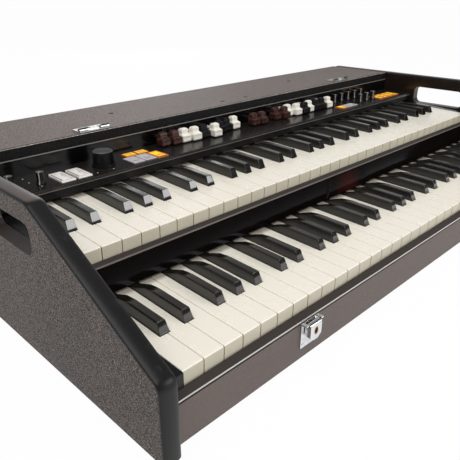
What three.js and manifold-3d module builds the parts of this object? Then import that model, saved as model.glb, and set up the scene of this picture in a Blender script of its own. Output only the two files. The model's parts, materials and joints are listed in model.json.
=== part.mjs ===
// Portable electronic organ: two manuals of 61 waterfall keys, twenty drawbars and a flat control deck in a
// fabric-covered plywood case whose lid has been lifted off.
//
// Millimetres. +X points to the player's right, +Y to the rear and +Z up. The pieces are drawn from the front
// edge of the upper manual's key tops (y = 0, z = 0) and the middle of the case (x = 0). The finished organ
// stands on the floor, with its origin under the middle of the case.

import * as THREE from 'three';
import { mergeVertices } from 'three/addons/utils/BufferGeometryUtils.js';
import Module from 'manifold-3d';

const wasm = await Module();
wasm.setup();

// Clearances and overlaps
const seatGap = 0.3;              // between pieces that rest on or against each other
const runningGap = 0.5;           // round a piece that moves through an opening
const joinOverlap = 0.5;          // how far fused shapes reach into each other
const cutOverrun = 3;             // how far a cutter runs past what it cuts

// Manuals
const octaves = 5;
const octaveNaturals = 7;
const keySpacing = 23.55;         // one natural and its share of the gaps
const keyTiltDegrees = 1.86;      // key tops rise to the rear by this angle
const manualSetback = 143.6;      // lower manual's front edge lies this far before the upper one's
const manualDrop = 52.7;          // and this far below it
const keyGap = 0.9;               // between two naturals
const naturalPlate = 7;           // thickness of a natural's top plate
const naturalFront = 16;          // height of a natural's front apron
const apronWall = 5;
const apronFoot = 3;              // the apron widens by this towards the plate
const naturalRound = 2;           // rounded edge between front and top
const naturalRoundSteps = 2;
const keyLength = 182;            // length of the key plates, without their hinge tongues
const hingeLag = 10;              // hinge line behind the key plates' rear end
const hingeRailReach = 8;         // a hinge rail's reach before and behind the hinge line
const hingeRailThickness = 4.2;
const hingeRailGap = 0.8;         // between the stacked hinge rails
const hingeLinkLength = 12;       // tongue before a rail that leads a key down to it

// Sharps
const sharpFront = 48.2;          // a sharp's foot behind the naturals' front edge
const sharpClearance = 0.8;       // between a sharp and the naturals beside it
const sharpHeight = 11.4;
const sharpLean = 5.2;            // the front face leans back by this over the height
const sharpFootWidth = 11;
const sharpShoulderWidth = 9.2;
const sharpTopWidth = 7.4;
const sharpBevel = 1;
const sharpFlatLength = 39;       // level stretch of the top, behind the leaning front
const sharpFallLength = 36;       // stretch over which the top falls to the tail
const sharpFallSteps = 2;
const sharpTailHeight = 1.5;
const sharpSkirt = 5;             // a sharp's body reaches this far below the natural tops

// Key beds and slips
const bedPlate = 4;
const bedWall = 1.6;
const bedDepth = 34;              // underside of the upper bed below the key tops
const bedRearMargin = 4;          // bed plate behind the hinge rails
const bedRearFlange = 12;
const bedRailWidth = 8;
const slipGap = 1.2;              // between key fronts and slip
const slipDrop = 14;              // slip's inner edge below the key tops
const upperSlipReach = 4.8;       // how far the upper slip slopes forward
const upperSlipFall = 3;
const upperSlipEdge = 2;
const lowerSlipReach = 6.6;
const lowerSlipFall = 4.4;
const lowerSlipEdge = 1.8;
const endBlockWidth = 18.6;       // black block between the last key and the case side
const endBlockTuck = 4;           // end blocks run this far behind the skirt and the fascia's foot

// Case
const caseDrop = 116.8;           // case bottom below the upper key fronts
const boardThickness = 12;        // bottom board and rear panel
const coverThickness = 13;
const coverDepth = 135.4;
const coverProud = 2;             // cover top above the seam of the edge trim
const sidePanelThickness = 17.5;
const railThickness = 15.4;
const railLip = 6;                // thin upper part of the front rail, which clears the falling keys
const railLipHeight = 10;
const railInset = 8.1;            // front rail's face behind the side panels' front edge
const slantDegrees = 28;          // slope of the side panels before the bend
const bendSetback = 17.1;         // bend of the side panels behind the upper key fronts
const bendRadius = 18;
const noseRadius = 9;
const rearRadius = 8;
const arcSteps = 4;

// Edge trim
const trimWidth = 18.1;
const trimCrown = 3;
const trimFacets = 6;

// Hand slots in the side panels
const slotLength = 101.5;
const slotHeight = 32.2;
const slotRadius = 9;
const slotSetback = 1.2;          // slot's front end behind the bend
const slotBelowTop = 19.4;        // slot's upper edge below the seam of the trim
const slotArcSteps = 3;

// Feet
const footRadius = 15;
const footToe = 13;
const footHeight = 8;
const footInset = 60;             // foot centre from the edges of the bottom board
const footSides = 12;

// Control deck, one folded sheet
const sheet = 1.5;
const deckSetback = 128;          // deck's front edge behind the upper key fronts
const deckDepth = 62;
const deckHeight = 21.3;          // deck top above the upper key fronts
const upstandHeight = 22.2;
const lipHeight = 4.6;
const lipSheet = 1.2;
const skirtShadow = 0.8;          // narrow shadow gap between lip and skirt
const skirtClearance = 1;         // skirt above the sharps' tails

// Middle fascia and its badge window
const fasciaSheet = 1.5;
const fasciaRise = 1.6;           // fascia's face behind the slip's edge at the top
const fasciaFootReach = 12.4;     // fascia's foot before the upper key fronts
const badgeTopWidth = 77;
const badgeFootWidth = 110;
const badgeThickness = 2;
const badgeMargin = 2;
const badgeShift = 9;             // badge centre to the right of the middle

// Drawbars
const drawbarSpacing = 17.75;
const drawbarCapWidth = 15.6;
const drawbarCapDepth = 13.4;
const drawbarCapHeight = 19.5;
const drawbarStepHeight = 11;     // lower block of the cap
const drawbarCrownWidth = 11.6;
const drawbarCrownSetback = 5;
const drawbarEase = 1;            // small chamfers of the cap
const drawbarFloat = 1;           // cap above the deck
const drawbarTravel = 36;
const drawbarRear = 0.6;          // cap's back before the upstand when fully in
const stemWidth = 4;
const stemHeight = 3;
const stemRise = 11;              // stem's middle above the cap's foot
// Pulls at rest as shares of the travel, one for each bar
const lowerPullShares = [0.29, 0.4, 0.38, 0.47, 0.45, 0.64, 0.39, 0.28, 0.25];
const pedalPullShares = [0.48, 0.53];
const upperPullShares = [0.41, 0.56, 0.34, 0.5, 0.61, 0.475, 0.555, 0.53, 0.545];

// Knobs
const knobFloat = 0.4;            // knob above the deck
const shaftRadius = 3;
const shaftDepth = 5.2;           // shaft end below the deck top
const shaftSides = 8;
const volumeRadius = 14.5;
const volumeHeight = 19;
const volumeSides = 18;
const volumeRing = 3;             // height of the base ring
const volumeWaist = 13.4;         // body radius just above the ring
const volumeTop = 12.9;
const volumeEase = 1.2;
const pointerRadius = 5.5;
const pointerHeight = 14.7;
const pointerFlange = 1.8;
const pointerWaist = 4;
const pointerTop = 3.4;
const pointerRib = 0.7;           // raised pointer line: width and stand
const pointerSides = 8;
const rotarySpacing = 22.3;
const rotaryRowLead = 39.2;       // rear row starts this far before the front row
const rearRotaryCount = 5;
const frontRotaryCount = 3;

// Rocker tabs and buttons
const tabWidth = 18.15;
const tabSpacing = 21.85;
const tabLength = 37;
const tabHeight = 1.5;
const tabDepth = 4;               // tab's body below the deck top
const tabRearRound = 6;
const tabRoundSteps = 3;
const capGap = 1.1;               // between neighbouring button caps
const leftCapCount = 3;
const leftCapWidth = 17.6;
const leftCapLength = 27;
const leftBackCapCount = 2;
const leftBackCapLength = 15;
const leftRowGap = 2.6;
const centreCapCount = 3;
const centreCapWidth = 15.8;
const centreCapLength = 18;
const rightCapCount = 4;
const rightCapWidth = 17.3;
const rightCapLength = 27;
const buttonHeight = 3;
const buttonEase = 0.8;
const carrierMargin = 1.4;        // carrier strip beyond the deck's opening
const carrierThickness = 1.8;
const carrierDrop = 1;            // carrier below the deck's underside

// Places on the deck: gaps before each group as shares of the free width, rows as shares of the deck depth
const gapShares = {
  outerPointer: 0.1056,
  innerPointer: 0.0999,
  tabs: 0.0634,
  volume: 0.078,
  leftBank: 0.0693,
  lowerBars: 0.074,
  pedalBars: 0.1056,
  upperBars: 0.1056,
  centreBank: 0.0106,
  rotaries: 0.115,
  rightBank: 0.0085,
};
const outerPointerShare = 0.479;
const innerPointerShare = 0.323;
const tabShare = 0.405;
const volumeShare = 0.492;
const rearRotaryShare = 0.871;
const frontRotaryShare = 0.355;
const leftBankShare = 0.08;
const centreBankShare = 0.1;
const rightBankShare = 0.115;

// Control board under the deck and main board at the rear
const boardSheet = 1.6;
const controlBoardDrop = 5.7;     // board top below the deck's underside
const controlBoardLength = 107;
const controlBoardMargin = 12;
const standoffRadius = 3;
const standoffSides = 6;
const standoffShares = [0.03, 0.36, 0.68, 0.97];
const combThickness = 6;
const combSetback = 36;           // guide comb behind the upstand
const combMargin = 8;
const potRadius = 4.5;
const mainBoardWidth = 210;
const mainBoardHeight = 70;
const mainBoardStandoff = 12;     // between main board and rear panel
const mainBoardLift = 18;         // above the bottom board
const mainBoardShare = 0.22;      // board centre, as a share of the case width from the middle
const inletWidth = 27;
const inletHeight = 19.5;
const inletWall = 2.5;
const inletDepth = 14;
const jackRadius = 5.5;
const jackBore = 3.2;
const jackSpacing = 26;
const jackCount = 3;
const pedalSocketRadius = 9.5;
const socketBore = 7;
const socketSides = 10;

// Cover hardware and latches
const hingePlateWidth = 43.8;
const hingePlateDepth = 20;
const hingePlateSheet = 1.4;
const hingeSpread = 278.3;        // hinge centre from the middle
const hingePlateInset = 3.2;      // plate's front edge behind the cover's front edge
const knuckleRadius = 2.8;
const knuckleBore = 1.4;
const knuckleLength = 12.6;
const knuckleSides = 10;
const dimpleRadius = 4.5;
const dimpleDepth = 2;
const outerDimpleSpread = 205.2;
const innerDimpleSpread = 27.3;
const outerDimpleSetback = 76.2;
const innerDimpleSetback = 24.9;
const dimpleSides = 8;
const latchWidth = 28;
const latchHeight = 29.5;
const latchSheet = 1.5;
const latchSpread = 265.9;
const latchTopInset = 0.6;
const latchTabWidth = 3.8;        // tabs bent forward at the plate's upper corners
const latchTabReach = 6;
const latchPinReach = 4.2;        // pin before the plate's face
const latchPinRadius = 1.2;
const cheekRadius = 2.1;          // cheeks of the plate hold the pin inside the lever
const cheekStem = 0.6;            // stem's reach behind the pin
const cheekDrop = 9;
const leverWidth = 18;
const leverBarrel = 3.8;          // lever's outer radius about the pin
const leverCoverDegrees = 120;    // its sheet runs this far over the pin
const leverLength = 15.9;         // from the pin to the lever's foot
const leverCorner = 4.3;          // height of its cut lower corners
const leverTipShare = 0.35;       // what they leave of its foot
const leverWall = 10;             // straight rear edge of its side walls below the pin
const leverSheet = 1.2;
const leverSideGap = 0.6;
const leverEyeWidth = 5.6;
const leverEyeHeight = 8;
const leverEyeDrop = 5.5;         // eye's centre below the pin
const latchSides = 10;

// Finishes
const finishes = {
  tolex: { color: 0x6b625e, roughness: 0.8, metalness: 0 },
  paint: { color: 0x1b1b1c, roughness: 0.4, metalness: 0 },
  trim: { color: 0x2b2a2c, roughness: 0.5, metalness: 0 },
  gloss: { color: 0x0d0c0d, roughness: 0.12, metalness: 0 },
  wood: { color: 0xb38a5b, roughness: 0.7, metalness: 0 },
  ivory: { color: 0xf0eadb, roughness: 0.35, metalness: 0 },
  ebony: { color: 0x0e0d0e, roughness: 0.15, metalness: 0 },
  brown: { color: 0x3a1f18, roughness: 0.35, metalness: 0 },
  white: { color: 0xe9e4d8, roughness: 0.4, metalness: 0 },
  black: { color: 0x141414, roughness: 0.4, metalness: 0 },
  chrome: { color: 0xc9ccd0, roughness: 0.2, metalness: 1 },
  circuit: { color: 0x1f5a38, roughness: 0.6, metalness: 0 },
};

// Sizes that follow from the ones above
const naturalCount = octaveNaturals * octaves + 1;
const manualWidth = naturalCount * keySpacing;
const sideInner = manualWidth / 2 + endBlockWidth;
const crossHalf = sideInner - seatGap;
const panelInset = (trimWidth - sidePanelThickness) / 2;
const tilt = THREE.MathUtils.degToRad(keyTiltDegrees);
const slant = THREE.MathUtils.degToRad(slantDegrees);
const hingeSetback = keyLength + hingeLag;
const upperBlockLength = deckSetback + endBlockTuck;
const lowerBlockLength = manualSetback - fasciaFootReach + endBlockTuck;

const bottomLevel = -caseDrop;
const boardTop = bottomLevel + boardThickness;
const railFace = -manualSetback - slipGap - lowerSlipReach;
const railBack = railFace + railThickness;
const railTop = -manualDrop - slipDrop - lowerSlipFall - lowerSlipEdge - seatGap;
const railStep = railTop - railLipHeight;
const caseFront = railFace - railInset;

const deckRear = deckSetback + deckDepth;
const deckUnder = deckHeight - sheet;
const upstandTop = deckHeight + upstandHeight;
const coverUnder = upstandTop + seatGap;
const coverTop = coverUnder + coverThickness;
const coverFront = deckRear + seatGap;
const caseRear = coverFront + coverDepth;
const seamTop = coverTop - coverProud;
const noseLevel = seamTop - Math.tan(slant) * (bendSetback - caseFront);
const rearPanelFront = caseRear - boardThickness;

const railTopA = 0;
const railTopB = railTopA - hingeRailThickness - hingeRailGap;
const railTopC = railTopB - hingeRailThickness - hingeRailGap;
const hingeLevel = railTopB - hingeRailThickness / 2;
const bedRailTop = railTopC - hingeRailThickness - seatGap;

const drawbarFoot = deckHeight + drawbarFloat;
const stemLevel = drawbarFoot + stemRise;
const combFront = deckRear + combSetback;
const combRear = combFront + combThickness;
const controlBoardTop = deckUnder - controlBoardDrop;
const pinHoleRadius = shaftRadius + runningGap;

// Shapes as solids that can be joined and cut

function solid(geometry) {
  const bare = geometry.clone();
  bare.deleteAttribute('normal');
  bare.deleteAttribute('uv');
  const merged = mergeVertices(bare);
  const vertProperties = new Float32Array(merged.attributes.position.array);
  const triVerts = new Uint32Array(merged.index.array);
  const closed = new wasm.Manifold(new wasm.Mesh({ numProp: 3, vertProperties, triVerts }));
  if (closed.volume() > 0) {
    return closed;
  }
  const turned = triVerts.map((_, i) => triVerts[i - (i % 3) + (2 - (i % 3))]);
  return new wasm.Manifold(new wasm.Mesh({ numProp: 3, vertProperties, triVerts: turned }));
}

function joined(shapes) {
  return shapes.reduce((whole, shape) => whole.add(shape));
}

function cutAway(body, cutters) {
  return cutters.reduce((rest, cutter) => rest.subtract(cutter), body);
}

function shapeOf(points) {
  const fresh = points.filter(([a, b], i) => {
    const [nextA, nextB] = points[(i + 1) % points.length];
    return a !== nextA || b !== nextB;
  });
  return new THREE.Shape(fresh.map(([a, b]) => new THREE.Vector2(a, b)));
}

// Points are [y, z]; the solid runs from x0 to x1
function prismX(points, x0, x1, holes = []) {
  const outline = shapeOf(points);
  outline.holes = holes.map(shapeOf);
  const geometry = new THREE.ExtrudeGeometry(outline, { depth: x1 - x0, bevelEnabled: false });
  const turn = new THREE.Matrix4().makeBasis(
    new THREE.Vector3(0, 1, 0),
    new THREE.Vector3(0, 0, 1),
    new THREE.Vector3(1, 0, 0),
  );
  return solid(geometry.applyMatrix4(turn).translate(x0, 0, 0));
}

// Points are [x, z]; the solid runs from y0 to y1
function prismY(points, y0, y1) {
  const geometry = new THREE.ExtrudeGeometry(shapeOf(points), { depth: y1 - y0, bevelEnabled: false });
  return solid(geometry.rotateX(Math.PI / 2).translate(0, y1, 0));
}

// Points are [x, y]; the solid runs from z0 to z1
function prismZ(points, z0, z1) {
  const geometry = new THREE.ExtrudeGeometry(shapeOf(points), { depth: z1 - z0, bevelEnabled: false });
  return solid(geometry.translate(0, 0, z0));
}

function block(x0, x1, y0, y1, z0, z1) {
  const geometry = new THREE.BoxGeometry(x1 - x0, y1 - y0, z1 - z0);
  return solid(geometry.translate((x0 + x1) / 2, (y0 + y1) / 2, (z0 + z1) / 2));
}

// Profile points are [radius, height], closed on the axis; the axis stands upright at x, y
function turnedUpright(profile, sides, x, y, z) {
  const points = profile.map(([radius, height]) => new THREE.Vector2(radius, height));
  const geometry = new THREE.LatheGeometry(points, sides);
  return solid(geometry.rotateX(Math.PI / 2).translate(x, y, z));
}

function post(radius, sides, x, y, z0, z1) {
  return turnedUpright([[0, z0], [radius, z0], [radius, z1], [0, z1]], sides, x, y, 0);
}

// A round bar along Y
function rod(radius, sides, x, z, y0, y1) {
  const geometry = new THREE.CylinderGeometry(radius, radius, y1 - y0, sides);
  return solid(geometry.translate(x, (y0 + y1) / 2, z));
}

function ringPoints(radius, sides, a, b) {
  return Array.from({ length: sides }, (_, i) => {
    const angle = (i / sides) * Math.PI * 2;
    return [a + radius * Math.cos(angle), b + radius * Math.sin(angle)];
  });
}

// A place given in a manual's own tilted frame, as [y, z] of the case
function onManual(frontY, frontZ, y, z) {
  return [
    frontY + y * Math.cos(tilt) - z * Math.sin(tilt),
    frontZ + y * Math.sin(tilt) + z * Math.cos(tilt),
  ];
}

function onUpper(y, z) {
  return onManual(0, 0, y, z);
}

function onLower(y, z) {
  return onManual(-manualSetback, -manualDrop, y, z);
}

function piece(name, body, finish) {
  const mesh = body.getMesh();
  const geometry = new THREE.BufferGeometry();
  geometry.setAttribute('position', new THREE.BufferAttribute(new Float32Array(mesh.vertProperties), 3));
  geometry.setIndex(new THREE.BufferAttribute(new Uint32Array(mesh.triVerts), 1));
  geometry.computeVertexNormals();
  const made = new THREE.Mesh(geometry, new THREE.MeshStandardMaterial(finishes[finish]));
  made.name = name;
  return made;
}

// Edge line of the side panels: up the front, back along the slant, over the bend, along the top, down the rear

function edgeStations() {
  const corners = [
    { y: caseFront, z: bottomLevel, radius: 0 },
    { y: caseFront, z: noseLevel, radius: noseRadius },
    { y: bendSetback, z: seamTop, radius: bendRadius },
    { y: caseRear, z: seamTop, radius: rearRadius },
    { y: caseRear, z: bottomLevel, radius: 0 },
  ];
  const heading = (from, to) => Math.atan2(to.z - from.z, to.y - from.y);
  const stations = [{ y: caseFront, z: bottomLevel, angle: Math.PI / 2 }];
  for (let i = 1; i < corners.length - 1; i += 1) {
    const before = heading(corners[i - 1], corners[i]);
    const after = heading(corners[i], corners[i + 1]);
    const { y, z, radius } = corners[i];
    const reach = radius * Math.tan((before - after) / 2);
    const centreY = y - reach * Math.cos(before) + radius * Math.sin(before);
    const centreZ = z - reach * Math.sin(before) - radius * Math.cos(before);
    for (let k = 0; k <= arcSteps; k += 1) {
      const angle = before + ((after - before) * k) / arcSteps;
      stations.push({
        y: centreY - radius * Math.sin(angle),
        z: centreZ + radius * Math.cos(angle),
        angle,
      });
    }
  }
  stations.push({ y: caseRear, z: bottomLevel, angle: -Math.PI / 2 });
  return stations;
}

// The edge line as a path for the trim, whose section keeps facing away from the panel
class EdgeLine extends THREE.Curve {
  constructor(stations, x) {
    super();
    this.stations = stations;
    this.x = x;
  }

  getPointAt(u, target = new THREE.Vector3()) {
    const { y, z } = this.stations[Math.round(u * (this.stations.length - 1))];
    return target.set(this.x, y, z);
  }

  computeFrenetFrames() {
    return {
      tangents: this.stations.map(({ angle }) => new THREE.Vector3(0, Math.cos(angle), Math.sin(angle))),
      normals: this.stations.map(({ angle }) => new THREE.Vector3(0, -Math.sin(angle), Math.cos(angle))),
      binormals: this.stations.map(() => new THREE.Vector3(1, 0, 0)),
    };
  }
}

function roundedSlot() {
  const y0 = bendSetback + slotSetback;
  const y1 = y0 + slotLength;
  const z1 = seamTop - slotBelowTop;
  const z0 = z1 - slotHeight;
  const corners = [
    [y1 - slotRadius, z1 - slotRadius],
    [y0 + slotRadius, z1 - slotRadius],
    [y0 + slotRadius, z0 + slotRadius],
    [y1 - slotRadius, z0 + slotRadius],
  ];
  return corners.flatMap(([y, z], quarter) => Array.from({ length: slotArcSteps + 1 }, (_, k) => {
    const angle = ((quarter + k / slotArcSteps) * Math.PI) / 2;
    return [y + slotRadius * Math.cos(angle), z + slotRadius * Math.sin(angle)];
  }));
}

function sidePanel(side) {
  const inset = edgeStations().map(({ y, z, angle }) => [
    y + seatGap * Math.sin(angle),
    z - seatGap * Math.cos(angle),
  ]);
  const inner = sideInner + panelInset;
  const ends = [side * inner, side * (inner + sidePanelThickness)];
  return prismX(inset, Math.min(...ends), Math.max(...ends), [roundedSlot()]);
}

function edgeTrim(side) {
  const line = new EdgeLine(edgeStations(), side * (sideInner + trimWidth / 2));
  const crown = Array.from({ length: trimFacets + 1 }, (_, i) => {
    const angle = (Math.PI * i) / trimFacets;
    return [trimCrown * Math.sin(angle), (-trimWidth / 2) * Math.cos(angle)];
  });
  return solid(new THREE.ExtrudeGeometry(shapeOf(crown), {
    steps: line.stations.length - 1,
    extrudePath: line,
  }));
}

// Case boards

function foot(x, y) {
  const profile = [
    [0, bottomLevel - footHeight],
    [footToe, bottomLevel - footHeight],
    [footRadius, bottomLevel - footHeight / 2],
    [footRadius, bottomLevel + joinOverlap],
    [0, bottomLevel + joinOverlap],
  ];
  return turnedUpright(profile, footSides, x, y, 0);
}

function baseBoard() {
  const front = railBack + seatGap;
  const rear = rearPanelFront - seatGap;
  const railHalf = bedRailWidth / 2;
  const hingeRail = prismX([
    onLower(hingeSetback - railHalf, bedRailTop),
    onLower(hingeSetback + railHalf, bedRailTop),
    [onLower(hingeSetback + railHalf, bedRailTop)[0], boardTop - joinOverlap],
    [onLower(hingeSetback - railHalf, bedRailTop)[0], boardTop - joinOverlap],
  ], -manualWidth / 2, manualWidth / 2);
  const feet = [-1, 1].flatMap((side) => [front + footInset, rear - footInset].map(
    (y) => foot(side * (crossHalf - footInset), y),
  ));
  const board = block(-crossHalf, crossHalf, front, rear, bottomLevel, boardTop);
  return joined([board, hingeRail, ...feet]);
}

function latchPin(side) {
  return {
    x: side * latchSpread,
    y: railFace - latchSheet - latchPinReach,
    z: railTop - latchTopInset - leverBarrel - seatGap,
  };
}

function latchPlate(side) {
  const { x, y, z } = latchPin(side);
  const top = railTop - latchTopInset;
  const half = latchWidth / 2;
  const face = railFace - latchSheet;
  const rear = railFace + joinOverlap;
  const stemTop = z - leverBarrel - leverSideGap;
  const stem = [
    [y - cheekRadius, z],
    [y - cheekRadius, z - cheekDrop],
    [rear, z - cheekDrop],
    [rear, stemTop],
    [y + cheekStem, stemTop],
    [y + cheekStem, z],
  ];
  const cheekSide = leverWidth / 2 - leverSheet - leverSideGap;
  const cheeks = [x - cheekSide, x + cheekSide - latchSheet].flatMap((x0) => [
    prismX(stem, x0, x0 + latchSheet),
    prismX(ringPoints(cheekRadius, latchSides, y, z), x0, x0 + latchSheet),
  ]);
  const tabs = [x - half, x + half - latchTabWidth].map(
    (x0) => block(x0, x0 + latchTabWidth, face - latchTabReach, rear, top - latchSheet, top),
  );
  return joined([
    block(x - half, x + half, face, rear, top - latchHeight, top),
    ...tabs,
    ...cheeks,
    prismX(ringPoints(latchPinRadius, latchSides, y, z), x - leverWidth / 2, x + leverWidth / 2),
  ]);
}

function frontRail() {
  const profile = [
    [railFace, bottomLevel],
    [railBack, bottomLevel],
    [railBack, railStep],
    [railFace + railLip, railStep],
    [railFace + railLip, railTop],
    [railFace, railTop],
  ];
  return joined([prismX(profile, -crossHalf, crossHalf), latchPlate(-1), latchPlate(1)]);
}

// The lever is a channel, open to the rear and below, whose side walls turn on the pin
function latchLever(side) {
  const { x, y, z } = latchPin(side);
  const half = leverWidth / 2;
  const face = y - leverBarrel;
  const foot = z - leverLength;
  const reach = leverBarrel + cutOverrun;
  const arc = (radius, sweep) => Array.from({ length: latchSides / 2 + 1 }, (_, i) => {
    const angle = Math.PI - (sweep * i) / (latchSides / 2);
    return [y + radius * Math.cos(angle), z + radius * Math.sin(angle)];
  });
  const walls = prismX([
    ...arc(leverBarrel, Math.PI),
    [y + leverBarrel, z - leverWall],
    [face + leverSheet, foot + leverSheet],
    [face + leverSheet, foot],
    [face, foot],
  ], x - half, x + half);
  const cover = THREE.MathUtils.degToRad(leverCoverDegrees);
  const [openY, openZ] = arc(reach, cover).pop();
  const channel = prismX([
    ...arc(leverBarrel - leverSheet, cover),
    [openY, openZ],
    [y + reach, openZ],
    [y + reach, foot - cutOverrun],
    [face + leverSheet, foot - cutOverrun],
  ], x - half + leverSheet, x + half - leverSheet);
  const outline = prismY([
    [x - half, z + reach],
    [x - half, foot + leverCorner],
    [x - half * leverTipShare, foot],
    [x + half * leverTipShare, foot],
    [x + half, foot + leverCorner],
    [x + half, z + reach],
  ], face - cutOverrun, y + reach);
  const bore = prismX(
    ringPoints(latchPinRadius + runningGap, latchSides, y, z),
    x - half - cutOverrun,
    x + half + cutOverrun,
  );
  const eyePoints = ringPoints(leverEyeWidth / 2, latchSides, 0, 0).map(([a, b]) => [
    x + a,
    z - leverEyeDrop + (b * leverEyeHeight) / leverEyeWidth,
  ]);
  const eye = prismY(eyePoints, face - cutOverrun, y);
  return cutAway(walls.intersect(outline), [channel, bore, eye]);
}

// Sockets stand on the main board and reach through the rear panel

function mainBoardCentre() {
  return mainBoardShare * 2 * sideInner;
}

function socketPlaces() {
  const centre = mainBoardCentre();
  const level = boardTop + mainBoardLift + mainBoardHeight / 2;
  const inletX = centre - mainBoardWidth / 2 + inletWidth;
  const pedalX = inletX + inletWidth + pedalSocketRadius * 2;
  const jacks = Array.from({ length: jackCount }, (_, i) => ({
    x: pedalX + pedalSocketRadius * 2 + jackSpacing * (i + 0.5),
    z: level,
  }));
  return { inlet: { x: inletX, z: level }, pedal: { x: pedalX, z: level }, jacks };
}

function rearPanel() {
  const { inlet, pedal, jacks } = socketPlaces();
  const y0 = rearPanelFront - cutOverrun;
  const y1 = caseRear + cutOverrun;
  const halfWidth = inletWidth / 2 + runningGap;
  const halfHeight = inletHeight / 2 + runningGap;
  const panel = block(-crossHalf, crossHalf, rearPanelFront, caseRear, bottomLevel, upstandTop);
  return cutAway(panel, [
    block(inlet.x - halfWidth, inlet.x + halfWidth, y0, y1, inlet.z - halfHeight, inlet.z + halfHeight),
    rod(pedalSocketRadius + runningGap, socketSides, pedal.x, pedal.z, y0, y1),
    ...jacks.map(({ x, z }) => rod(jackRadius + runningGap, socketSides, x, z, y0, y1)),
  ]);
}

function mainBoard() {
  const { inlet, pedal, jacks } = socketPlaces();
  const x0 = mainBoardCentre() - mainBoardWidth / 2;
  const x1 = x0 + mainBoardWidth;
  const z0 = boardTop + mainBoardLift;
  const z1 = z0 + mainBoardHeight;
  const rear = rearPanelFront - mainBoardStandoff;
  const halfWidth = inletWidth / 2;
  const halfHeight = inletHeight / 2;
  const corners = [x0 + standoffRadius * 2, x1 - standoffRadius * 2].flatMap(
    (x) => [z0 + standoffRadius * 2, z1 - standoffRadius * 2].map((z) => ({ x, z })),
  );
  const body = joined([
    block(x0, x1, rear - boardSheet, rear, z0, z1),
    block(
      inlet.x - halfWidth,
      inlet.x + halfWidth,
      rear - joinOverlap,
      caseRear,
      inlet.z - halfHeight,
      inlet.z + halfHeight,
    ),
    rod(pedalSocketRadius, socketSides, pedal.x, pedal.z, rear - joinOverlap, caseRear),
    ...jacks.map(({ x, z }) => rod(jackRadius, socketSides, x, z, rear - joinOverlap, caseRear)),
    ...corners.map(({ x, z }) => rod(
      standoffRadius,
      standoffSides,
      x,
      z,
      rear - joinOverlap,
      rearPanelFront - seatGap,
    )),
  ]);
  const mouth = caseRear + cutOverrun;
  return cutAway(body, [
    block(
      inlet.x - halfWidth + inletWall,
      inlet.x + halfWidth - inletWall,
      caseRear - inletDepth,
      mouth,
      inlet.z - halfHeight + inletWall,
      inlet.z + halfHeight - inletWall,
    ),
    rod(socketBore, socketSides, pedal.x, pedal.z, caseRear - inletDepth, mouth),
    ...jacks.map(({ x, z }) => rod(jackBore, socketSides, x, z, caseRear - inletDepth, mouth)),
  ]);
}

function topCover() {
  const cover = block(-crossHalf, crossHalf, coverFront, caseRear, coverUnder, coverTop);
  const places = [-1, 1].flatMap((side) => [
    [side * outerDimpleSpread, coverFront + outerDimpleSetback],
    [side * innerDimpleSpread, coverFront + innerDimpleSetback],
  ]);
  const dimples = places.map(([x, y]) => turnedUpright([
    [0, coverTop - dimpleDepth],
    [dimpleRadius / 2, coverTop - dimpleDepth],
    [dimpleRadius, coverTop],
    [dimpleRadius, coverTop + cutOverrun],
    [0, coverTop + cutOverrun],
  ], dimpleSides, x, y, 0));
  return cutAway(cover, dimples);
}

function hingeHalf(side) {
  const x = side * hingeSpread;
  const half = hingePlateWidth / 2;
  const front = coverFront + hingePlateInset;
  const foot = coverTop + seatGap;
  const axisY = front + knuckleRadius;
  const axisZ = foot + knuckleRadius;
  const knuckleOffset = half - knuckleLength / 2;
  const plate = block(x - half, x + half, front, front + hingePlateDepth, foot, foot + hingePlateSheet);
  const knuckles = [-1, 1].map((end) => prismX(
    ringPoints(knuckleRadius, knuckleSides, axisY, axisZ),
    x + end * knuckleOffset - knuckleLength / 2,
    x + end * knuckleOffset + knuckleLength / 2,
  ));
  const bore = prismX(
    ringPoints(knuckleBore, knuckleSides, axisY, axisZ),
    x - half - cutOverrun,
    x + half + cutOverrun,
  );
  return cutAway(joined([plate, ...knuckles]), [bore]);
}

// Key beds, slips and fascia

function upperKeyBed() {
  const wallFront = -slipGap - bedWall;
  const slipEdge = -slipGap - upperSlipReach;
  const slipLevel = -slipDrop - upperSlipFall;
  const rear = hingeSetback + hingeRailReach + bedRearMargin;
  const bedTop = -bedDepth + bedPlate;
  const bed = prismX([
    onUpper(-slipGap, -slipDrop),
    onUpper(slipEdge, slipLevel),
    onUpper(slipEdge, slipLevel - upperSlipEdge),
    onUpper(wallFront, slipLevel - upperSlipEdge),
    onUpper(wallFront, -bedDepth),
    onUpper(rear, -bedDepth),
    onUpper(rear, -bedDepth + bedRearFlange),
    onUpper(rear - bedWall, -bedDepth + bedRearFlange),
    onUpper(rear - bedWall, bedTop),
    onUpper(-slipGap, bedTop),
  ], -crossHalf, crossHalf);
  const railHalf = bedRailWidth / 2;
  const hingeRail = prismX([
    onUpper(hingeSetback - railHalf, bedRailTop),
    onUpper(hingeSetback + railHalf, bedRailTop),
    onUpper(hingeSetback + railHalf, bedTop - joinOverlap),
    onUpper(hingeSetback - railHalf, bedTop - joinOverlap),
  ], -manualWidth / 2, manualWidth / 2);
  const endBlocks = [-1, 1].map((side) => {
    const ends = [side * (manualWidth / 2 + seatGap), side * crossHalf];
    return prismX([
      onUpper(-slipGap - joinOverlap, 0),
      onUpper(upperBlockLength, 0),
      onUpper(upperBlockLength, bedTop - joinOverlap),
      onUpper(-slipGap - joinOverlap, bedTop - joinOverlap),
    ], Math.min(...ends), Math.max(...ends));
  });
  return joined([bed, hingeRail, ...endBlocks]);
}

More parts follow.
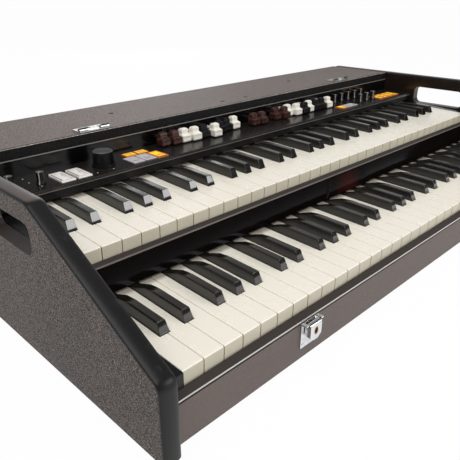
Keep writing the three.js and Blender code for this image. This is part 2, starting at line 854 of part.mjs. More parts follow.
function lowerKeySlip() {
  const slipRear = -manualSetback - slipGap;
  const slipTop = -manualDrop - slipDrop;
  const slipFoot = railTop + seatGap;
  const slip = prismX([
    [slipRear, slipTop],
    [railFace, slipTop - lowerSlipFall],
    [railFace, slipFoot],
    [slipRear, slipFoot],
  ], -crossHalf, crossHalf);
  const [blockFront, blockFrontTop] = onLower(-slipGap - joinOverlap, 0);
  const [blockRear, blockRearTop] = onLower(lowerBlockLength, 0);
  const lipRear = railFace + railLip + seatGap;
  const endBlocks = [-1, 1].map((side) => {
    const ends = [side * (manualWidth / 2 + seatGap), side * crossHalf];
    return prismX([
      [blockFront, blockFrontTop],
      [blockRear, blockRearTop],
      [blockRear, boardTop + seatGap],
      [railBack + seatGap, boardTop + seatGap],
      [railBack + seatGap, railStep + seatGap],
      [lipRear, railStep + seatGap],
      [lipRear, slipFoot],
      [blockFront, slipFoot],
    ], Math.min(...ends), Math.max(...ends));
  });
  return joined([slip, ...endBlocks]);
}

// The fascia is drawn upright under its top edge and then leans back as a whole
function middleFascia() {
  const top = -slipDrop - upperSlipFall - upperSlipEdge - seatGap;
  const face = -slipGap - upperSlipReach + fasciaRise;
  const foot = onLower(manualSetback - fasciaFootReach, sharpTailHeight)[1] + skirtClearance;
  const height = Math.hypot(top - foot, face + fasciaFootReach);
  const plate = block(-crossHalf, crossHalf, 0, fasciaSheet, -height, 0);
  const badge = prismY([
    [badgeShift - badgeTopWidth / 2, -badgeMargin],
    [badgeShift + badgeTopWidth / 2, -badgeMargin],
    [badgeShift + badgeFootWidth / 2, -height],
    [badgeShift - badgeFootWidth / 2, -height],
  ], -badgeThickness, joinOverlap);
  const fascia = piece('middle_fascia', joined([plate, badge]), 'gloss');
  fascia.position.set(0, face, top);
  fascia.rotation.x = -Math.atan2(face + fasciaFootReach, top - foot);
  return fascia;
}

// Keys, drawn in the manual's own frame with its left end at x = 0

const sharpPlaceShares = new Map([[0, 9 / 10], [1, 21 / 10], [3, 27 / 7], [4, 5], [5, 43 / 7]]);

function sharpAfter(natural) {
  const octave = Math.floor(natural / octaveNaturals);
  const step = natural - octave * octaveNaturals;
  if (natural < 0 || octave >= octaves || !sharpPlaceShares.has(step)) {
    return null;
  }
  return (octave * octaveNaturals + sharpPlaceShares.get(step)) * keySpacing;
}

function naturalProfile(tail) {
  const round = Array.from({ length: naturalRoundSteps + 1 }, (_, i) => {
    const angle = (Math.PI / 2) * (2 - i / naturalRoundSteps);
    return [naturalRound + naturalRound * Math.cos(angle), -naturalRound + naturalRound * Math.sin(angle)];
  });
  return [
    [0, -naturalFront],
    ...round,
    ...tail,
    [apronWall + apronFoot, -naturalPlate],
    [apronWall, -naturalFront],
  ];
}

const hingeRailFront = hingeSetback - hingeRailReach;
const hingeRailRear = hingeSetback + hingeRailReach;
const linkFront = hingeRailFront - hingeLinkLength;

function tailOntoTopRail() {
  return [
    [hingeRailRear, railTopA],
    [hingeRailRear, railTopA - hingeRailThickness],
    [keyLength, railTopA - hingeRailThickness],
    [keyLength, -naturalPlate],
  ];
}

function tailOntoMiddleRail() {
  return [
    [keyLength, 0],
    [keyLength, railTopB],
    [hingeRailRear, railTopB],
    [hingeRailRear, railTopB - hingeRailThickness],
    [linkFront, railTopB - hingeRailThickness],
    [linkFront, -naturalPlate],
  ];
}

function naturalKey(index, profile) {
  const left = index * keySpacing + keyGap / 2;
  const right = (index + 1) * keySpacing - keyGap / 2;
  const slot = sharpFootWidth / 2 + sharpClearance;
  const sharpOnLeft = sharpAfter(index - 1);
  const sharpOnRight = sharpAfter(index);
  const tailLeft = sharpOnLeft === null ? left : sharpOnLeft + slot;
  const tailRight = sharpOnRight === null ? right : sharpOnRight - slot;
  const head = sharpFront - sharpClearance;
  const plan = prismZ([
    [left, -cutOverrun],
    [right, -cutOverrun],
    [right, head],
    [tailRight, head],
    [tailRight, hingeRailRear],
    [tailLeft, hingeRailRear],
    [tailLeft, head],
    [left, head],
  ], -naturalFront - cutOverrun, cutOverrun);
  return prismX(profile, left - cutOverrun, right + cutOverrun).intersect(plan);
}

function naturals(steps, tail, railTop) {
  const profile = naturalProfile(tail);
  const keys = [];
  for (let index = 0; index < naturalCount; index += 1) {
    if (steps.includes(index % octaveNaturals)) {
      keys.push(naturalKey(index, profile));
    }
  }
  const rail = block(
    keyGap / 2,
    manualWidth - keyGap / 2,
    hingeRailFront,
    hingeRailRear,
    railTop - hingeRailThickness,
    railTop,
  );
  return joined([rail, ...keys]);
}

function sharpKey(centre) {
  const flatEnd = sharpFront + sharpLean + sharpFlatLength;
  const fall = Array.from({ length: sharpFallSteps }, (_, i) => {
    const share = (i + 1) / sharpFallSteps;
    return [
      flatEnd + sharpFallLength * share,
      sharpHeight - (sharpHeight - sharpTailHeight) * share ** 2,
    ];
  });
  const side = prismX([
    [sharpFront, -sharpSkirt],
    [sharpFront, 0],
    [sharpFront + sharpLean, sharpHeight],
    [flatEnd, sharpHeight],
    ...fall,
    [keyLength, sharpTailHeight],
    [keyLength, railTopC],
    [hingeRailRear, railTopC],
    [hingeRailRear, railTopC - hingeRailThickness],
    [linkFront, railTopC - hingeRailThickness],
    [linkFront, -sharpSkirt],
  ], centre - sharpFootWidth, centre + sharpFootWidth);
  const front = prismY([
    [centre - sharpFootWidth / 2, railTopC - hingeRailThickness - cutOverrun],
    [centre + sharpFootWidth / 2, railTopC - hingeRailThickness - cutOverrun],
    [centre + sharpFootWidth / 2, 0],
    [centre + sharpShoulderWidth / 2, sharpHeight - sharpBevel],
    [centre + sharpTopWidth / 2, sharpHeight],
    [centre - sharpTopWidth / 2, sharpHeight],
    [centre - sharpShoulderWidth / 2, sharpHeight - sharpBevel],
    [centre - sharpFootWidth / 2, 0],
  ], sharpFront - cutOverrun, hingeRailRear + cutOverrun);
  return side.intersect(front);
}

function sharps() {
  const keys = [];
  for (let index = 0; index < naturalCount; index += 1) {
    const centre = sharpAfter(index);
    if (centre !== null) {
      keys.push(sharpKey(centre));
    }
  }
  const rail = block(
    keyGap / 2,
    manualWidth - keyGap / 2,
    hingeRailFront,
    hingeRailRear,
    railTopC - hingeRailThickness,
    railTopC,
  );
  return joined([rail, ...keys]);
}

function manual(name, frontY, frontZ) {
  const frame = new THREE.Group();
  frame.position.set(-manualWidth / 2, frontY, frontZ);
  frame.rotation.x = tilt;
  frame.add(piece(`${name}_naturals_cegb`, naturals([0, 2, 4, 6], tailOntoTopRail(), railTopA), 'ivory'));
  frame.add(piece(`${name}_naturals_dfa`, naturals([1, 3, 5], tailOntoMiddleRail(), railTopB), 'ivory'));
  frame.add(piece(`${name}_sharps`, sharps(), 'ebony'));
  return frame;
}

// Control deck: the groups stand side by side and share out the width that is left free

function bankWidth(capWidth, count) {
  return count * capWidth + (count - 1) * capGap;
}

const groupWidths = {
  outerPointer: 2 * pointerRadius,
  innerPointer: 2 * pointerRadius,
  tabs: tabSpacing + tabWidth,
  volume: 2 * volumeRadius,
  leftBank: bankWidth(leftCapWidth, leftCapCount),
  lowerBars: (lowerPullShares.length - 1) * drawbarSpacing + drawbarCapWidth,
  pedalBars: (pedalPullShares.length - 1) * drawbarSpacing + drawbarCapWidth,
  upperBars: (upperPullShares.length - 1) * drawbarSpacing + drawbarCapWidth,
  centreBank: bankWidth(centreCapWidth, centreCapCount),
  rotaries: (frontRotaryCount - 1) * rotarySpacing + 2 * pointerRadius,
  rightBank: bankWidth(rightCapWidth, rightCapCount),
};

function groupPlaces() {
  const names = Object.keys(groupWidths);
  const used = names.reduce((sum, name) => sum + groupWidths[name], 0);
  const free = 2 * crossHalf - used;
  const places = {};
  let x = -crossHalf;
  for (const name of names) {
    x += free * gapShares[name];
    places[name] = x;
    x += groupWidths[name];
  }
  return places;
}

const places = groupPlaces();

function deckRow(share) {
  return deckSetback + share * deckDepth;
}

function pointerKnobs() {
  const front = places.rotaries + pointerRadius;
  const row = (count, start, share) => Array.from({ length: count }, (_, i) => ({
    x: start + i * rotarySpacing,
    y: deckRow(share),
  }));
  return [
    { x: places.outerPointer + pointerRadius, y: deckRow(outerPointerShare) },
    { x: places.innerPointer + pointerRadius, y: deckRow(innerPointerShare) },
    ...row(rearRotaryCount, front - rotaryRowLead, rearRotaryShare),
    ...row(frontRotaryCount, front, frontRotaryShare),
  ];
}

function volumePlace() {
  return { x: places.volume + volumeRadius, y: deckRow(volumeShare) };
}

function drawbars() {
  const bank = (name, start, pullShares) => pullShares.map((share, i) => ({
    name: `drawbar_${name}_${i + 1}`,
    x: start + drawbarCapWidth / 2 + i * drawbarSpacing,
    pull: share * drawbarTravel,
    place: i,
  }));
  return [
    ...bank('lower', places.lowerBars, lowerPullShares),
    ...bank('pedal', places.pedalBars, pedalPullShares),
    ...bank('upper', places.upperBars, upperPullShares),
  ];
}

function tabPlaces() {
  const x = places.tabs + tabWidth / 2;
  return [x, x + tabSpacing].map((centre) => ({ x: centre, y: deckRow(tabShare) }));
}

// A bank is a list of rows; each row has its caps' left end, front edge, size and count
function banks() {
  const leftFront = deckRow(leftBankShare);
  return {
    left: [
      {
        x: places.leftBank,
        y: leftFront,
        width: leftCapWidth,
        length: leftCapLength,
        count: leftCapCount,
      },
      {
        x: places.leftBank + (leftCapWidth + capGap) / 2,
        y: leftFront + leftCapLength + leftRowGap,
        width: leftCapWidth,
        length: leftBackCapLength,
        count: leftBackCapCount,
      },
    ],
    centre: [{
      x: places.centreBank,
      y: deckRow(centreBankShare),
      width: centreCapWidth,
      length: centreCapLength,
      count: centreCapCount,
    }],
    right: [{
      x: places.rightBank,
      y: deckRow(rightBankShare),
      width: rightCapWidth,
      length: rightCapLength,
      count: rightCapCount,
    }],
  };
}

function rowOutline({ x, y, width, length, count }, margin) {
  return [x - margin, x + bankWidth(width, count) + margin, y - margin, y + length + margin];
}

function controlPanel() {
  const skirtFront = deckSetback + lipSheet + skirtShadow;
  const skirtRear = skirtFront + lipSheet;
  const skirtFoot = onUpper(deckSetback, sharpTailHeight)[1] + skirtClearance;
  const lipFoot = deckHeight - lipHeight;
  const folded = prismX([
    [deckSetback, lipFoot],
    [deckSetback, deckHeight - lipSheet / 2],
    [deckSetback + lipSheet / 2, deckHeight],
    [deckRear, deckHeight],
    [deckRear, upstandTop],
    [deckRear + sheet, upstandTop],
    [deckRear + sheet, deckUnder],
    [skirtRear, deckUnder],
    [skirtRear, skirtFoot],
    [skirtFront, skirtFoot],
    [skirtFront, deckUnder],
    [deckSetback + lipSheet, deckUnder],
    [deckSetback + lipSheet, lipFoot],
  ], -crossHalf, crossHalf);
  const z0 = deckUnder - cutOverrun;
  const z1 = deckHeight + cutOverrun;
  const shaftHoles = [...pointerKnobs(), volumePlace()].map(
    ({ x, y }) => post(pinHoleRadius, shaftSides, x, y, z0, z1),
  );
  const stemHoles = drawbars().map(({ x }) => block(
    x - stemWidth / 2 - runningGap,
    x + stemWidth / 2 + runningGap,
    deckRear - cutOverrun,
    deckRear + sheet + cutOverrun,
    stemLevel - stemHeight / 2 - runningGap,
    stemLevel + stemHeight / 2 + runningGap,
  ));
  const tabHoles = tabPlaces().map(({ x, y }) => block(
    x - tabWidth / 2 - runningGap,
    x + tabWidth / 2 + runningGap,
    y - tabLength / 2 - runningGap,
    y + tabLength / 2 + runningGap,
    z0,
    z1,
  ));
  const bankHoles = Object.values(banks()).flat().map(
    (row) => block(...rowOutline(row, runningGap), z0, z1),
  );
  return cutAway(folded, [...shaftHoles, ...stemHoles, ...tabHoles, ...bankHoles]);
}

function controlBoard() {
  const half = crossHalf - controlBoardMargin;
  const front = deckSetback + 2 * lipSheet + skirtShadow + runningGap;
  const top = controlBoardTop;
  const bars = drawbars();
  const combLeft = bars[0].x - drawbarCapWidth / 2 - combMargin;
  const combRight = bars[bars.length - 1].x + drawbarCapWidth / 2 + combMargin;
  const board = block(-half, half, front, front + controlBoardLength, top - boardSheet, top);
  const standoffs = standoffShares.map((share) => post(
    standoffRadius,
    standoffSides,
    -half + 2 * half * share,
    deckRear - 2 * standoffRadius,
    top - joinOverlap,
    deckUnder - seatGap,
  ));
  const pots = [...pointerKnobs(), volumePlace()].map(({ x, y }) => post(
    potRadius,
    standoffSides,
    x,
    y,
    top - joinOverlap,
    deckHeight - shaftDepth - seatGap,
  ));
  const comb = block(
    combLeft,
    combRight,
    combFront,
    combRear,
    top - joinOverlap,
    stemLevel + stemHeight + runningGap,
  );
  const guides = bars.map(({ x }) => block(
    x - stemWidth / 2 - runningGap,
    x + stemWidth / 2 + runningGap,
    combFront - cutOverrun,
    combRear + cutOverrun,
    stemLevel - stemHeight / 2 - runningGap,
    stemLevel + stemHeight / 2 + runningGap,
  ));
  return cutAway(joined([board, ...standoffs, ...pots, comb]), guides);
}

// Moving controls

// A drawbar's cap is its side outline cut to its front outline; the stem runs back through upstand and comb
function drawbar({ x, pull }) {
  const rear = deckRear - drawbarRear - pull;
  const front = rear - drawbarCapDepth;
  const foot = drawbarFoot;
  const step = foot + drawbarStepHeight;
  const top = foot + drawbarCapHeight;
  const half = drawbarCapWidth / 2;
  const crown = drawbarCrownWidth / 2;
  const side = prismX([
    [front, foot],
    [front, step - drawbarEase],
    [front + drawbarEase, step],
    [front + drawbarCrownSetback, step + drawbarEase],
    [front + drawbarCrownSetback, top - 2 * drawbarEase],
    [front + drawbarCrownSetback + 2 * drawbarEase, top],
    [rear, top],
    [rear, foot],
  ], x - half, x + half);
  const face = prismY([
    [x - half, foot],
    [x + half, foot],
    [x + half, step - drawbarEase],
    [x + half - drawbarEase, step],
    [x + crown, step + drawbarEase],
    [x + crown, top - drawbarEase],
    [x + crown - drawbarEase, top],
    [x - crown + drawbarEase, top],
    [x - crown, top - drawbarEase],
    [x - crown, step + drawbarEase],
    [x - half + drawbarEase, step],
    [x - half, step - drawbarEase],
  ], front - cutOverrun, rear + cutOverrun);
  const stem = block(
    x - stemWidth / 2,
    x + stemWidth / 2,
    rear - joinOverlap,
    combRear + drawbarTravel - pull + combThickness,
    stemLevel - stemHeight / 2,
    stemLevel + stemHeight / 2,
  );
  return side.intersect(face).add(stem);
}

function drawbarFinish(name, place) {
  if (name.startsWith('drawbar_pedal') || place < 2) {
    return 'brown';
  }
  return [2, 3, 5, 8].includes(place) ? 'white' : 'black';
}

function volumeKnob() {
  const { x, y } = volumePlace();
  const foot = deckHeight + knobFloat;
  const end = deckHeight - shaftDepth;
  return turnedUpright([
    [0, end],
    [shaftRadius, end],
    [shaftRadius, foot],
    [volumeRadius, foot],
    [volumeRadius, foot + volumeRing - volumeEase / 2],
    [volumeRadius - volumeEase / 2, foot + volumeRing],
    [volumeWaist, foot + volumeRing],
    [volumeTop, foot + volumeHeight - volumeEase],
    [volumeTop - volumeEase, foot + volumeHeight],
    [0, foot + volumeHeight],
  ], volumeSides, x, y, 0);
}

function pointerKnob({ x, y }) {
  const foot = deckHeight + knobFloat;
  const end = deckHeight - shaftDepth;
  const body = turnedUpright([
    [0, end],
    [shaftRadius, end],
    [shaftRadius, foot],
    [pointerRadius, foot],
    [pointerRadius, foot + pointerFlange],
    [pointerWaist, foot + 2 * pointerFlange],
    [pointerTop, foot + pointerHeight],
    [0, foot + pointerHeight],
  ], pointerSides, x, y, 0);
  const rib = block(
    x - pointerRib,
    x + pointerRib,
    y - pointerWaist - pointerRib,
    y,
    foot + pointerFlange,
    foot + pointerHeight + pointerRib / 2,
  );
  return body.add(rib);
}

// A rocker tab: flat front, rounded rear, rocking about a line across its middle
function rockerTab({ x, y }) {
  const top = deckHeight + tabHeight;
  const foot = deckHeight - tabDepth;
  const half = tabWidth / 2;
  const front = y - tabLength / 2;
  const rear = y + tabLength / 2;
  const side = prismX([
    [front + buttonEase, foot],
    [front, deckHeight],
    [front + buttonEase, top - buttonEase],
    [front + tabHeight, top],
    [rear - tabHeight, top],
    [rear - buttonEase, top - buttonEase],
    [rear, deckHeight],
    [rear - buttonEase, foot],
  ], x - half, x + half);
  const round = Array.from({ length: tabRoundSteps + 1 }, (_, i) => {
    const angle = (Math.PI / 2) * (i / tabRoundSteps);
    return [Math.cos(angle), Math.sin(angle)];
  });
  const plan = prismZ([
    [x - half, front],
    [x + half, front],
    ...round.map(([c, s]) => [x + half - tabRearRound * (1 - c), rear - tabRearRound * (1 - s)]),
    ...round.reverse().map(([c, s]) => [x - half + tabRearRound * (1 - c), rear - tabRearRound * (1 - s)]),
  ], foot - cutOverrun, top + cutOverrun);
  return side.intersect(plan);
}

function buttonCap(x0, x1, y0, y1, z0, z1) {
  const across = (a, b) => [
    [a, z0],
    [b, z0],
    [b, z1 - buttonEase],
    [b - buttonEase, z1],
    [a + buttonEase, z1],
    [a, z1 - buttonEase],
  ];
  return prismY(across(x0, x1), y0, y1).intersect(prismX(across(y0, y1), x0, x1));
}

// The caps of a bank stand on one carrier strip behind the deck
function buttonBank(rows) {
  const carrierTop = deckUnder - carrierDrop;
  const carrierFoot = carrierTop - carrierThickness;
  const carriers = rows.map((row) => block(...rowOutline(row, carrierMargin), carrierFoot, carrierTop));
  const caps = rows.flatMap(({ x, y, width, length, count }) => Array.from({ length: count }, (_, i) => {
    const left = x + i * (width + capGap);
    return buttonCap(left, left + width, y, y + length, carrierTop - joinOverlap, deckHeight + buttonHeight);
  }));
  return joined([...carriers, ...caps]);
}

// Assembly

const drawn = new THREE.Group();
drawn.add(piece('base_board', baseBoard(), 'wood'));
drawn.add(piece('left_side_panel', sidePanel(-1), 'tolex'));
drawn.add(piece('right_side_panel', sidePanel(1), 'tolex'));
drawn.add(piece('left_edge_trim', edgeTrim(-1), 'trim'));
drawn.add(piece('right_edge_trim', edgeTrim(1), 'trim'));
drawn.add(piece('front_rail', frontRail(), 'tolex'));
drawn.add(piece('rear_panel', rearPanel(), 'tolex'));
drawn.add(piece('top_cover', topCover(), 'tolex'));
drawn.add(piece('left_hinge_half', hingeHalf(-1), 'chrome'));
drawn.add(piece('right_hinge_half', hingeHalf(1), 'chrome'));
drawn.add(piece('left_latch_lever', latchLever(-1), 'chrome'));
drawn.add(piece('right_latch_lever', latchLever(1), 'chrome'));
drawn.add(piece('upper_key_bed', upperKeyBed(), 'paint'));
drawn.add(piece('lower_key_slip', lowerKeySlip(), 'paint'));
drawn.add(middleFascia());
drawn.add(manual('upper', 0, 0));
drawn.add(manual('lower', -manualSetback, -manualDrop));
drawn.add(piece('control_panel', controlPanel(), 'paint'));
drawn.add(piece('control_board', controlBoard(), 'circuit'));
drawn.add(piece('main_board', mainBoard(), 'circuit'));
for (const bar of drawbars()) {
  drawn.add(piece(bar.name, drawbar(bar), drawbarFinish(bar.name, bar.place)));
}
drawn.add(piece('volume_knob', volumeKnob(), 'black'));
pointerKnobs().forEach((place, i) => {
  drawn.add(piece(`pointer_knob_${i + 1}`, pointerKnob(place), 'black'));
});
tabPlaces().forEach((place, i) => {
  drawn.add(piece(`rocker_tab_${i + 1}`, rockerTab(place), 'white'));
});
for (const [name, rows] of Object.entries(banks())) {
  drawn.add(piece(`${name}_button_bank`, buttonBank(rows), 'white'));
}
drawn.position.set(0, -(caseFront + caseRear) / 2, caseDrop + footHeight);

const organ = new THREE.Group();
organ.add(drawn);

export default organ;
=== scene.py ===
"""Looks of a portable two-manual organ: finishes, eased parts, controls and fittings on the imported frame.

All lengths are metres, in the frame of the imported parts: +X to the player's right, +Y to the rear, +Z up.
"""

import json
import logging
import math
from contextlib import contextmanager
from dataclasses import dataclass, field, replace
from enum import Enum
from typing import Any, Callable, Iterator, Optional, Sequence, Union

import bmesh
import bpy
from mathutils import Matrix, Vector

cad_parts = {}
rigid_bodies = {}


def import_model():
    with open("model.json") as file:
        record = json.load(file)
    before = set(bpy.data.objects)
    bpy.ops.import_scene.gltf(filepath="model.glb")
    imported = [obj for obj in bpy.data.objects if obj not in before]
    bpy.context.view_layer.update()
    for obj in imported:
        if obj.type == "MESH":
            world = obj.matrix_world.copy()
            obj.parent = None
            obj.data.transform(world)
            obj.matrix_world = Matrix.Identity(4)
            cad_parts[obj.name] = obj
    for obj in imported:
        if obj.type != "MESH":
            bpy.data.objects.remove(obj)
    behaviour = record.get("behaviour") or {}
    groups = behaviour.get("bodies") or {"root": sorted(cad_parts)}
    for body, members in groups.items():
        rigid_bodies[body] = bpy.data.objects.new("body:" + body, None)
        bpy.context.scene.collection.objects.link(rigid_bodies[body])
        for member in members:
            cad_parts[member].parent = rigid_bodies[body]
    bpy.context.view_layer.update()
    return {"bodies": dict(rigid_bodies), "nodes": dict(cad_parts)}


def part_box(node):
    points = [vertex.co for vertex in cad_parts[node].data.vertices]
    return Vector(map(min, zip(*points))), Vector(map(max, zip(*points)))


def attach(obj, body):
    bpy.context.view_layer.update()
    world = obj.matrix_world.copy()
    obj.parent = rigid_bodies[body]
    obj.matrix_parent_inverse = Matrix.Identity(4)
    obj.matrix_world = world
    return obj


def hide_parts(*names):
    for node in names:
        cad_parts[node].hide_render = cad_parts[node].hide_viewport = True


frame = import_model()

MM = 0.001
CASE = "case"
log = logging.getLogger("organ")


def colour(code: str) -> tuple[float, float, float, float]:
    """Turns a colour code into linear light.

    Args:
        code: Six hexadecimal digits after a hash sign.

    Returns:
        Red, green, blue and full opacity.
    """
    channels = [int(code[i:i + 2], 16) / 255 for i in (1, 3, 5)]
    linear = [c / 12.92 if c <= 0.04045 else ((c + 0.055) / 1.055) ** 2.4 for c in channels]
    return (linear[0], linear[1], linear[2], 1.0)


class Wire:
    """A socket of a shader tree that takes part in Python expressions on single values."""

    def __init__(self, tree: bpy.types.NodeTree, socket: bpy.types.NodeSocket) -> None:
        """Keeps the tree and the output socket."""
        self.tree = tree
        self.socket = socket

    def _math(self, operation: str, first: "Number", second: "Number") -> "Wire":
        """Adds a Math node.

        Args:
            operation: The Math node's operation.
            first: Its first value.
            second: Its second value.

        Returns:
            The node's result.
        """
        node = self.tree.nodes.new("ShaderNodeMath")
        node.operation = operation
        for socket, value in zip(node.inputs, (first, second)):
            if isinstance(value, Wire):
                self.tree.links.new(value.socket, socket)
            else:
                socket.default_value = value
        return Wire(self.tree, node.outputs[0])

    def __add__(self, other: "Number") -> "Wire":
        """Sum."""
        return self._math("ADD", self, other)

    def __radd__(self, other: "Number") -> "Wire":
        """Sum with the wire on the right."""
        return self._math("ADD", other, self)

    def __sub__(self, other: "Number") -> "Wire":
        """Difference."""
        return self._math("SUBTRACT", self, other)

    def __rsub__(self, other: "Number") -> "Wire":
        """Difference with the wire on the right."""
        return self._math("SUBTRACT", other, self)

    def __mul__(self, other: "Number") -> "Wire":
        """Product."""
        return self._math("MULTIPLY", self, other)

    def __rmul__(self, other: "Number") -> "Wire":
        """Product with the wire on the right."""
        return self._math("MULTIPLY", other, self)

    def __abs__(self) -> "Wire":
        """Size without its sign."""
        return self._math("ABSOLUTE", self, 0.0)


Number = Union[Wire, float]
Tone = Union[Wire, str]


class Graph:
    """The node tree of one material."""

    def __init__(self, name: str) -> None:
        """Starts a material with one surface shader."""
        self.material = bpy.data.materials.new(name)
        self.material.use_nodes = True
        self.tree = self.material.node_tree
        self.tree.nodes.clear()
        self.shader = self.tree.nodes.new("ShaderNodeBsdfPrincipled")
        output = self.tree.nodes.new("ShaderNodeOutputMaterial")
        self.tree.links.new(self.shader.outputs[0], output.inputs["Surface"])

    def node(
        self,
        kind: str,
        settings: Optional[dict[str, Any]] = None,
        inputs: Optional[dict[Union[str, int], Any]] = None,
        output: Union[str, int] = 0,
    ) -> Wire:
        """Adds any node.

        Args:
            kind: The node's type.
            settings: Its own settings, set first; stops are a ramp's places and colour codes.
            inputs: Values or wires for its sockets, by name or number.
            output: The output socket that is wanted.

        Returns:
            That output.
        """
        made = self.tree.nodes.new(kind)
        for key, value in (settings or {}).items():
            if key == "stops":
                self._set_stops(made, value)
            else:
                setattr(made, key, value)
        for key, value in (inputs or {}).items():
            self.feed(made.inputs[key], value)
        return Wire(self.tree, made.outputs[output])

    @staticmethod
    def _set_stops(ramp: bpy.types.Node, stops: Sequence[tuple[float, str]]) -> None:
        """Sets a ramp's stops, which are places and colour codes."""
        elements = ramp.color_ramp.elements
        while len(elements) < len(stops):
            elements.new(1.0)
        for element, (place, code) in zip(elements, stops):
            element.position = place
            element.color = colour(code)

    def feed(self, socket: bpy.types.NodeSocket, value: Any) -> None:
        """Gives a socket a wire, a colour code or a plain value."""
        if isinstance(value, Wire):
            self.tree.links.new(value.socket, socket)
        elif isinstance(value, str):
            socket.default_value = colour(value)
        else:
            socket.default_value = value

    def set(self, **values: Any) -> None:
        """Feeds the surface shader; an underscore in a name stands for a space."""
        for name, value in values.items():
            self.feed(self.shader.inputs[name.replace("_", " ")], value)

    def place(self) -> Wire:
        """Place on the object."""
        return self.node("ShaderNodeTexCoord", output="Object")

    def axis(self, name: str, source: str = "Object") -> Wire:
        """One coordinate of the place or, with Normal as source, of the outward direction."""
        vector = self.node("ShaderNodeTexCoord", output=source)
        return self.node("ShaderNodeSeparateXYZ", inputs={0: vector}, output=name)

    def stretched(self, scale: Sequence[float]) -> Wire:
        """Place on the object with each axis scaled."""
        return self.node("ShaderNodeMapping", inputs={"Vector": self.place(), "Scale": scale})

    def noise(self, scale: float, detail: float = 3.0, rough: float = 0.5, place: Optional[Wire] = None) -> Wire:
        """Cloudy noise.

        Args:
            scale: Clouds to a metre.
            detail: Finer layers on top.
            rough: How strong the finer layers are.
            place: Coordinates, or none for the place on the object.

        Returns:
            A value about one half.
        """
        sockets = {"Vector": place or self.place(), "Scale": scale, "Detail": detail, "Roughness": rough}
        return self.node("ShaderNodeTexNoise", inputs=sockets)

    def cells(self, scale: float, feature: str = "F1", place: Optional[Wire] = None) -> Wire:
        """Distance within a pattern of cells, with as many cells to a metre as the scale says."""
        sockets = {"Vector": place or self.place(), "Scale": scale}
        return self.node("ShaderNodeTexVoronoi", {"feature": feature}, sockets, "Distance")

    def step(self, value: Wire, low: float, high: float) -> Wire:
        """Smooth step from 0 at low to 1 at high."""
        sockets = {"Value": value, "From Min": low, "From Max": high}
        return self.node("ShaderNodeMapRange", {"interpolation_type": "SMOOTHSTEP"}, sockets)

    def mix(self, share: Number, first: Tone, second: Tone) -> Wire:
        """Mixes two colours; the share is that of the second."""
        return self.node("ShaderNodeMix", {"data_type": "RGBA"}, {0: share, 6: first, 7: second}, 2)

    def relief(self, height: Wire, distance: float, strength: float = 1.0) -> None:
        """Raises the surface by a height pattern of the given depth."""
        sockets = {"Strength": strength, "Distance": distance, "Height": height}
        self.set(Normal=self.node("ShaderNodeBump", inputs=sockets))


@dataclass(frozen=True)
class Finish:
    """A surface finish, shared by all pieces that wear it."""

    name: str
    shine: float = field(default=0.5, kw_only=True)

    def material(self) -> bpy.types.Material:
        """Returns the finish's material, made when it is first asked for."""
        made = bpy.data.materials.get(self.name)
        if made is None:
            graph = Graph(self.name)
            graph.set(Specular_IOR_Level=self.shine)
            self.paint(graph)
            made = graph.material
        return made

    def paint(self, graph: Graph) -> None:
        """Lays the finish's nodes into the graph."""
        raise NotImplementedError


@dataclass(frozen=True)
class Covering(Finish):
    """Case covering with a pebble grain, with painted shade darkening its creases and pale patches that are partly
    rubbed wear and partly painted highlight.
    """

    base: str
    crease_shade_and_mottle: str
    rubbed: str
    pebble: float = 1.8 * MM
    depth: float = 0.4 * MM
    rub_and_highlight: float = 0.5
    crease_width: float = 0.26

    def paint(self, graph: Graph) -> None:
        """Lays pebbles, painted shade in the creases, pale patches of wear and painted highlight, and a slight change
        of tone over the boards.
        """
        wander = graph.noise(0.35 / self.pebble, detail=2.0)
        warped = graph.node(
            "ShaderNodeVectorMath",
            {"operation": "MULTIPLY_ADD"},
            {0: self._vector(graph, wander), 1: (self.pebble,) * 3, 2: graph.place()},
        )
        edges = graph.cells(1 / self.pebble, "DISTANCE_TO_EDGE", warped)
        domes = graph.cells(1 / self.pebble, "F1", warped)
        pebbles = graph.step(edges, 0.03, self.crease_width)
        clouds = graph.step(graph.noise(9.0, detail=4.0), 0.35, 0.68)
        # pale patches on the pebbles: partly rubbed wear, partly painted highlight
        rubs_and_highlights = graph.step(graph.noise(0.45 / self.pebble, detail=5.0, rough=0.7), 0.5, 0.64)
        # painted shade: the creases between pebbles take the crease colour
        grain = graph.mix(pebbles, self.crease_shade_and_mottle, self.base)
        # random darker clouds use the same crease colour
        toned = graph.mix(clouds * 0.16, grain, self.crease_shade_and_mottle)
        graph.set(
            Base_Color=graph.mix(rubs_and_highlights * pebbles * self.rub_and_highlight, toned, self.rubbed),
            Roughness=0.5 + 0.22 * (1 - pebbles),
        )
        graph.relief(pebbles * 0.7 + (1 - domes) * 0.3, self.depth)

    @staticmethod
    def _vector(graph: Graph, value: Wire) -> Wire:
        """Spreads one value over three axes."""
        return graph.node("ShaderNodeCombineXYZ", inputs={0: value, 1: value, 2: value})


@dataclass(frozen=True)
class Enamel(Finish):
    """Baked paint on sheet metal, with a fine texture and a little dust."""

    base: str
    dust: str
    roughness: float
    texture: float = 0.02 * MM

    def paint(self, graph: Graph) -> None:
        """Lays the paint's texture, its uneven gloss and a trace of dust."""
        grains = graph.noise(1400.0, detail=2.0)
        clouds = graph.noise(16.0, detail=4.0)
        specks = graph.step(graph.noise(520.0, detail=5.0, rough=0.7), 0.66, 0.74)
        graph.set(
            Base_Color=graph.mix(specks * 0.35, self.base, self.dust),
            Roughness=self.roughness - 0.05 + 0.1 * clouds,
        )
        graph.relief(grains, self.texture)


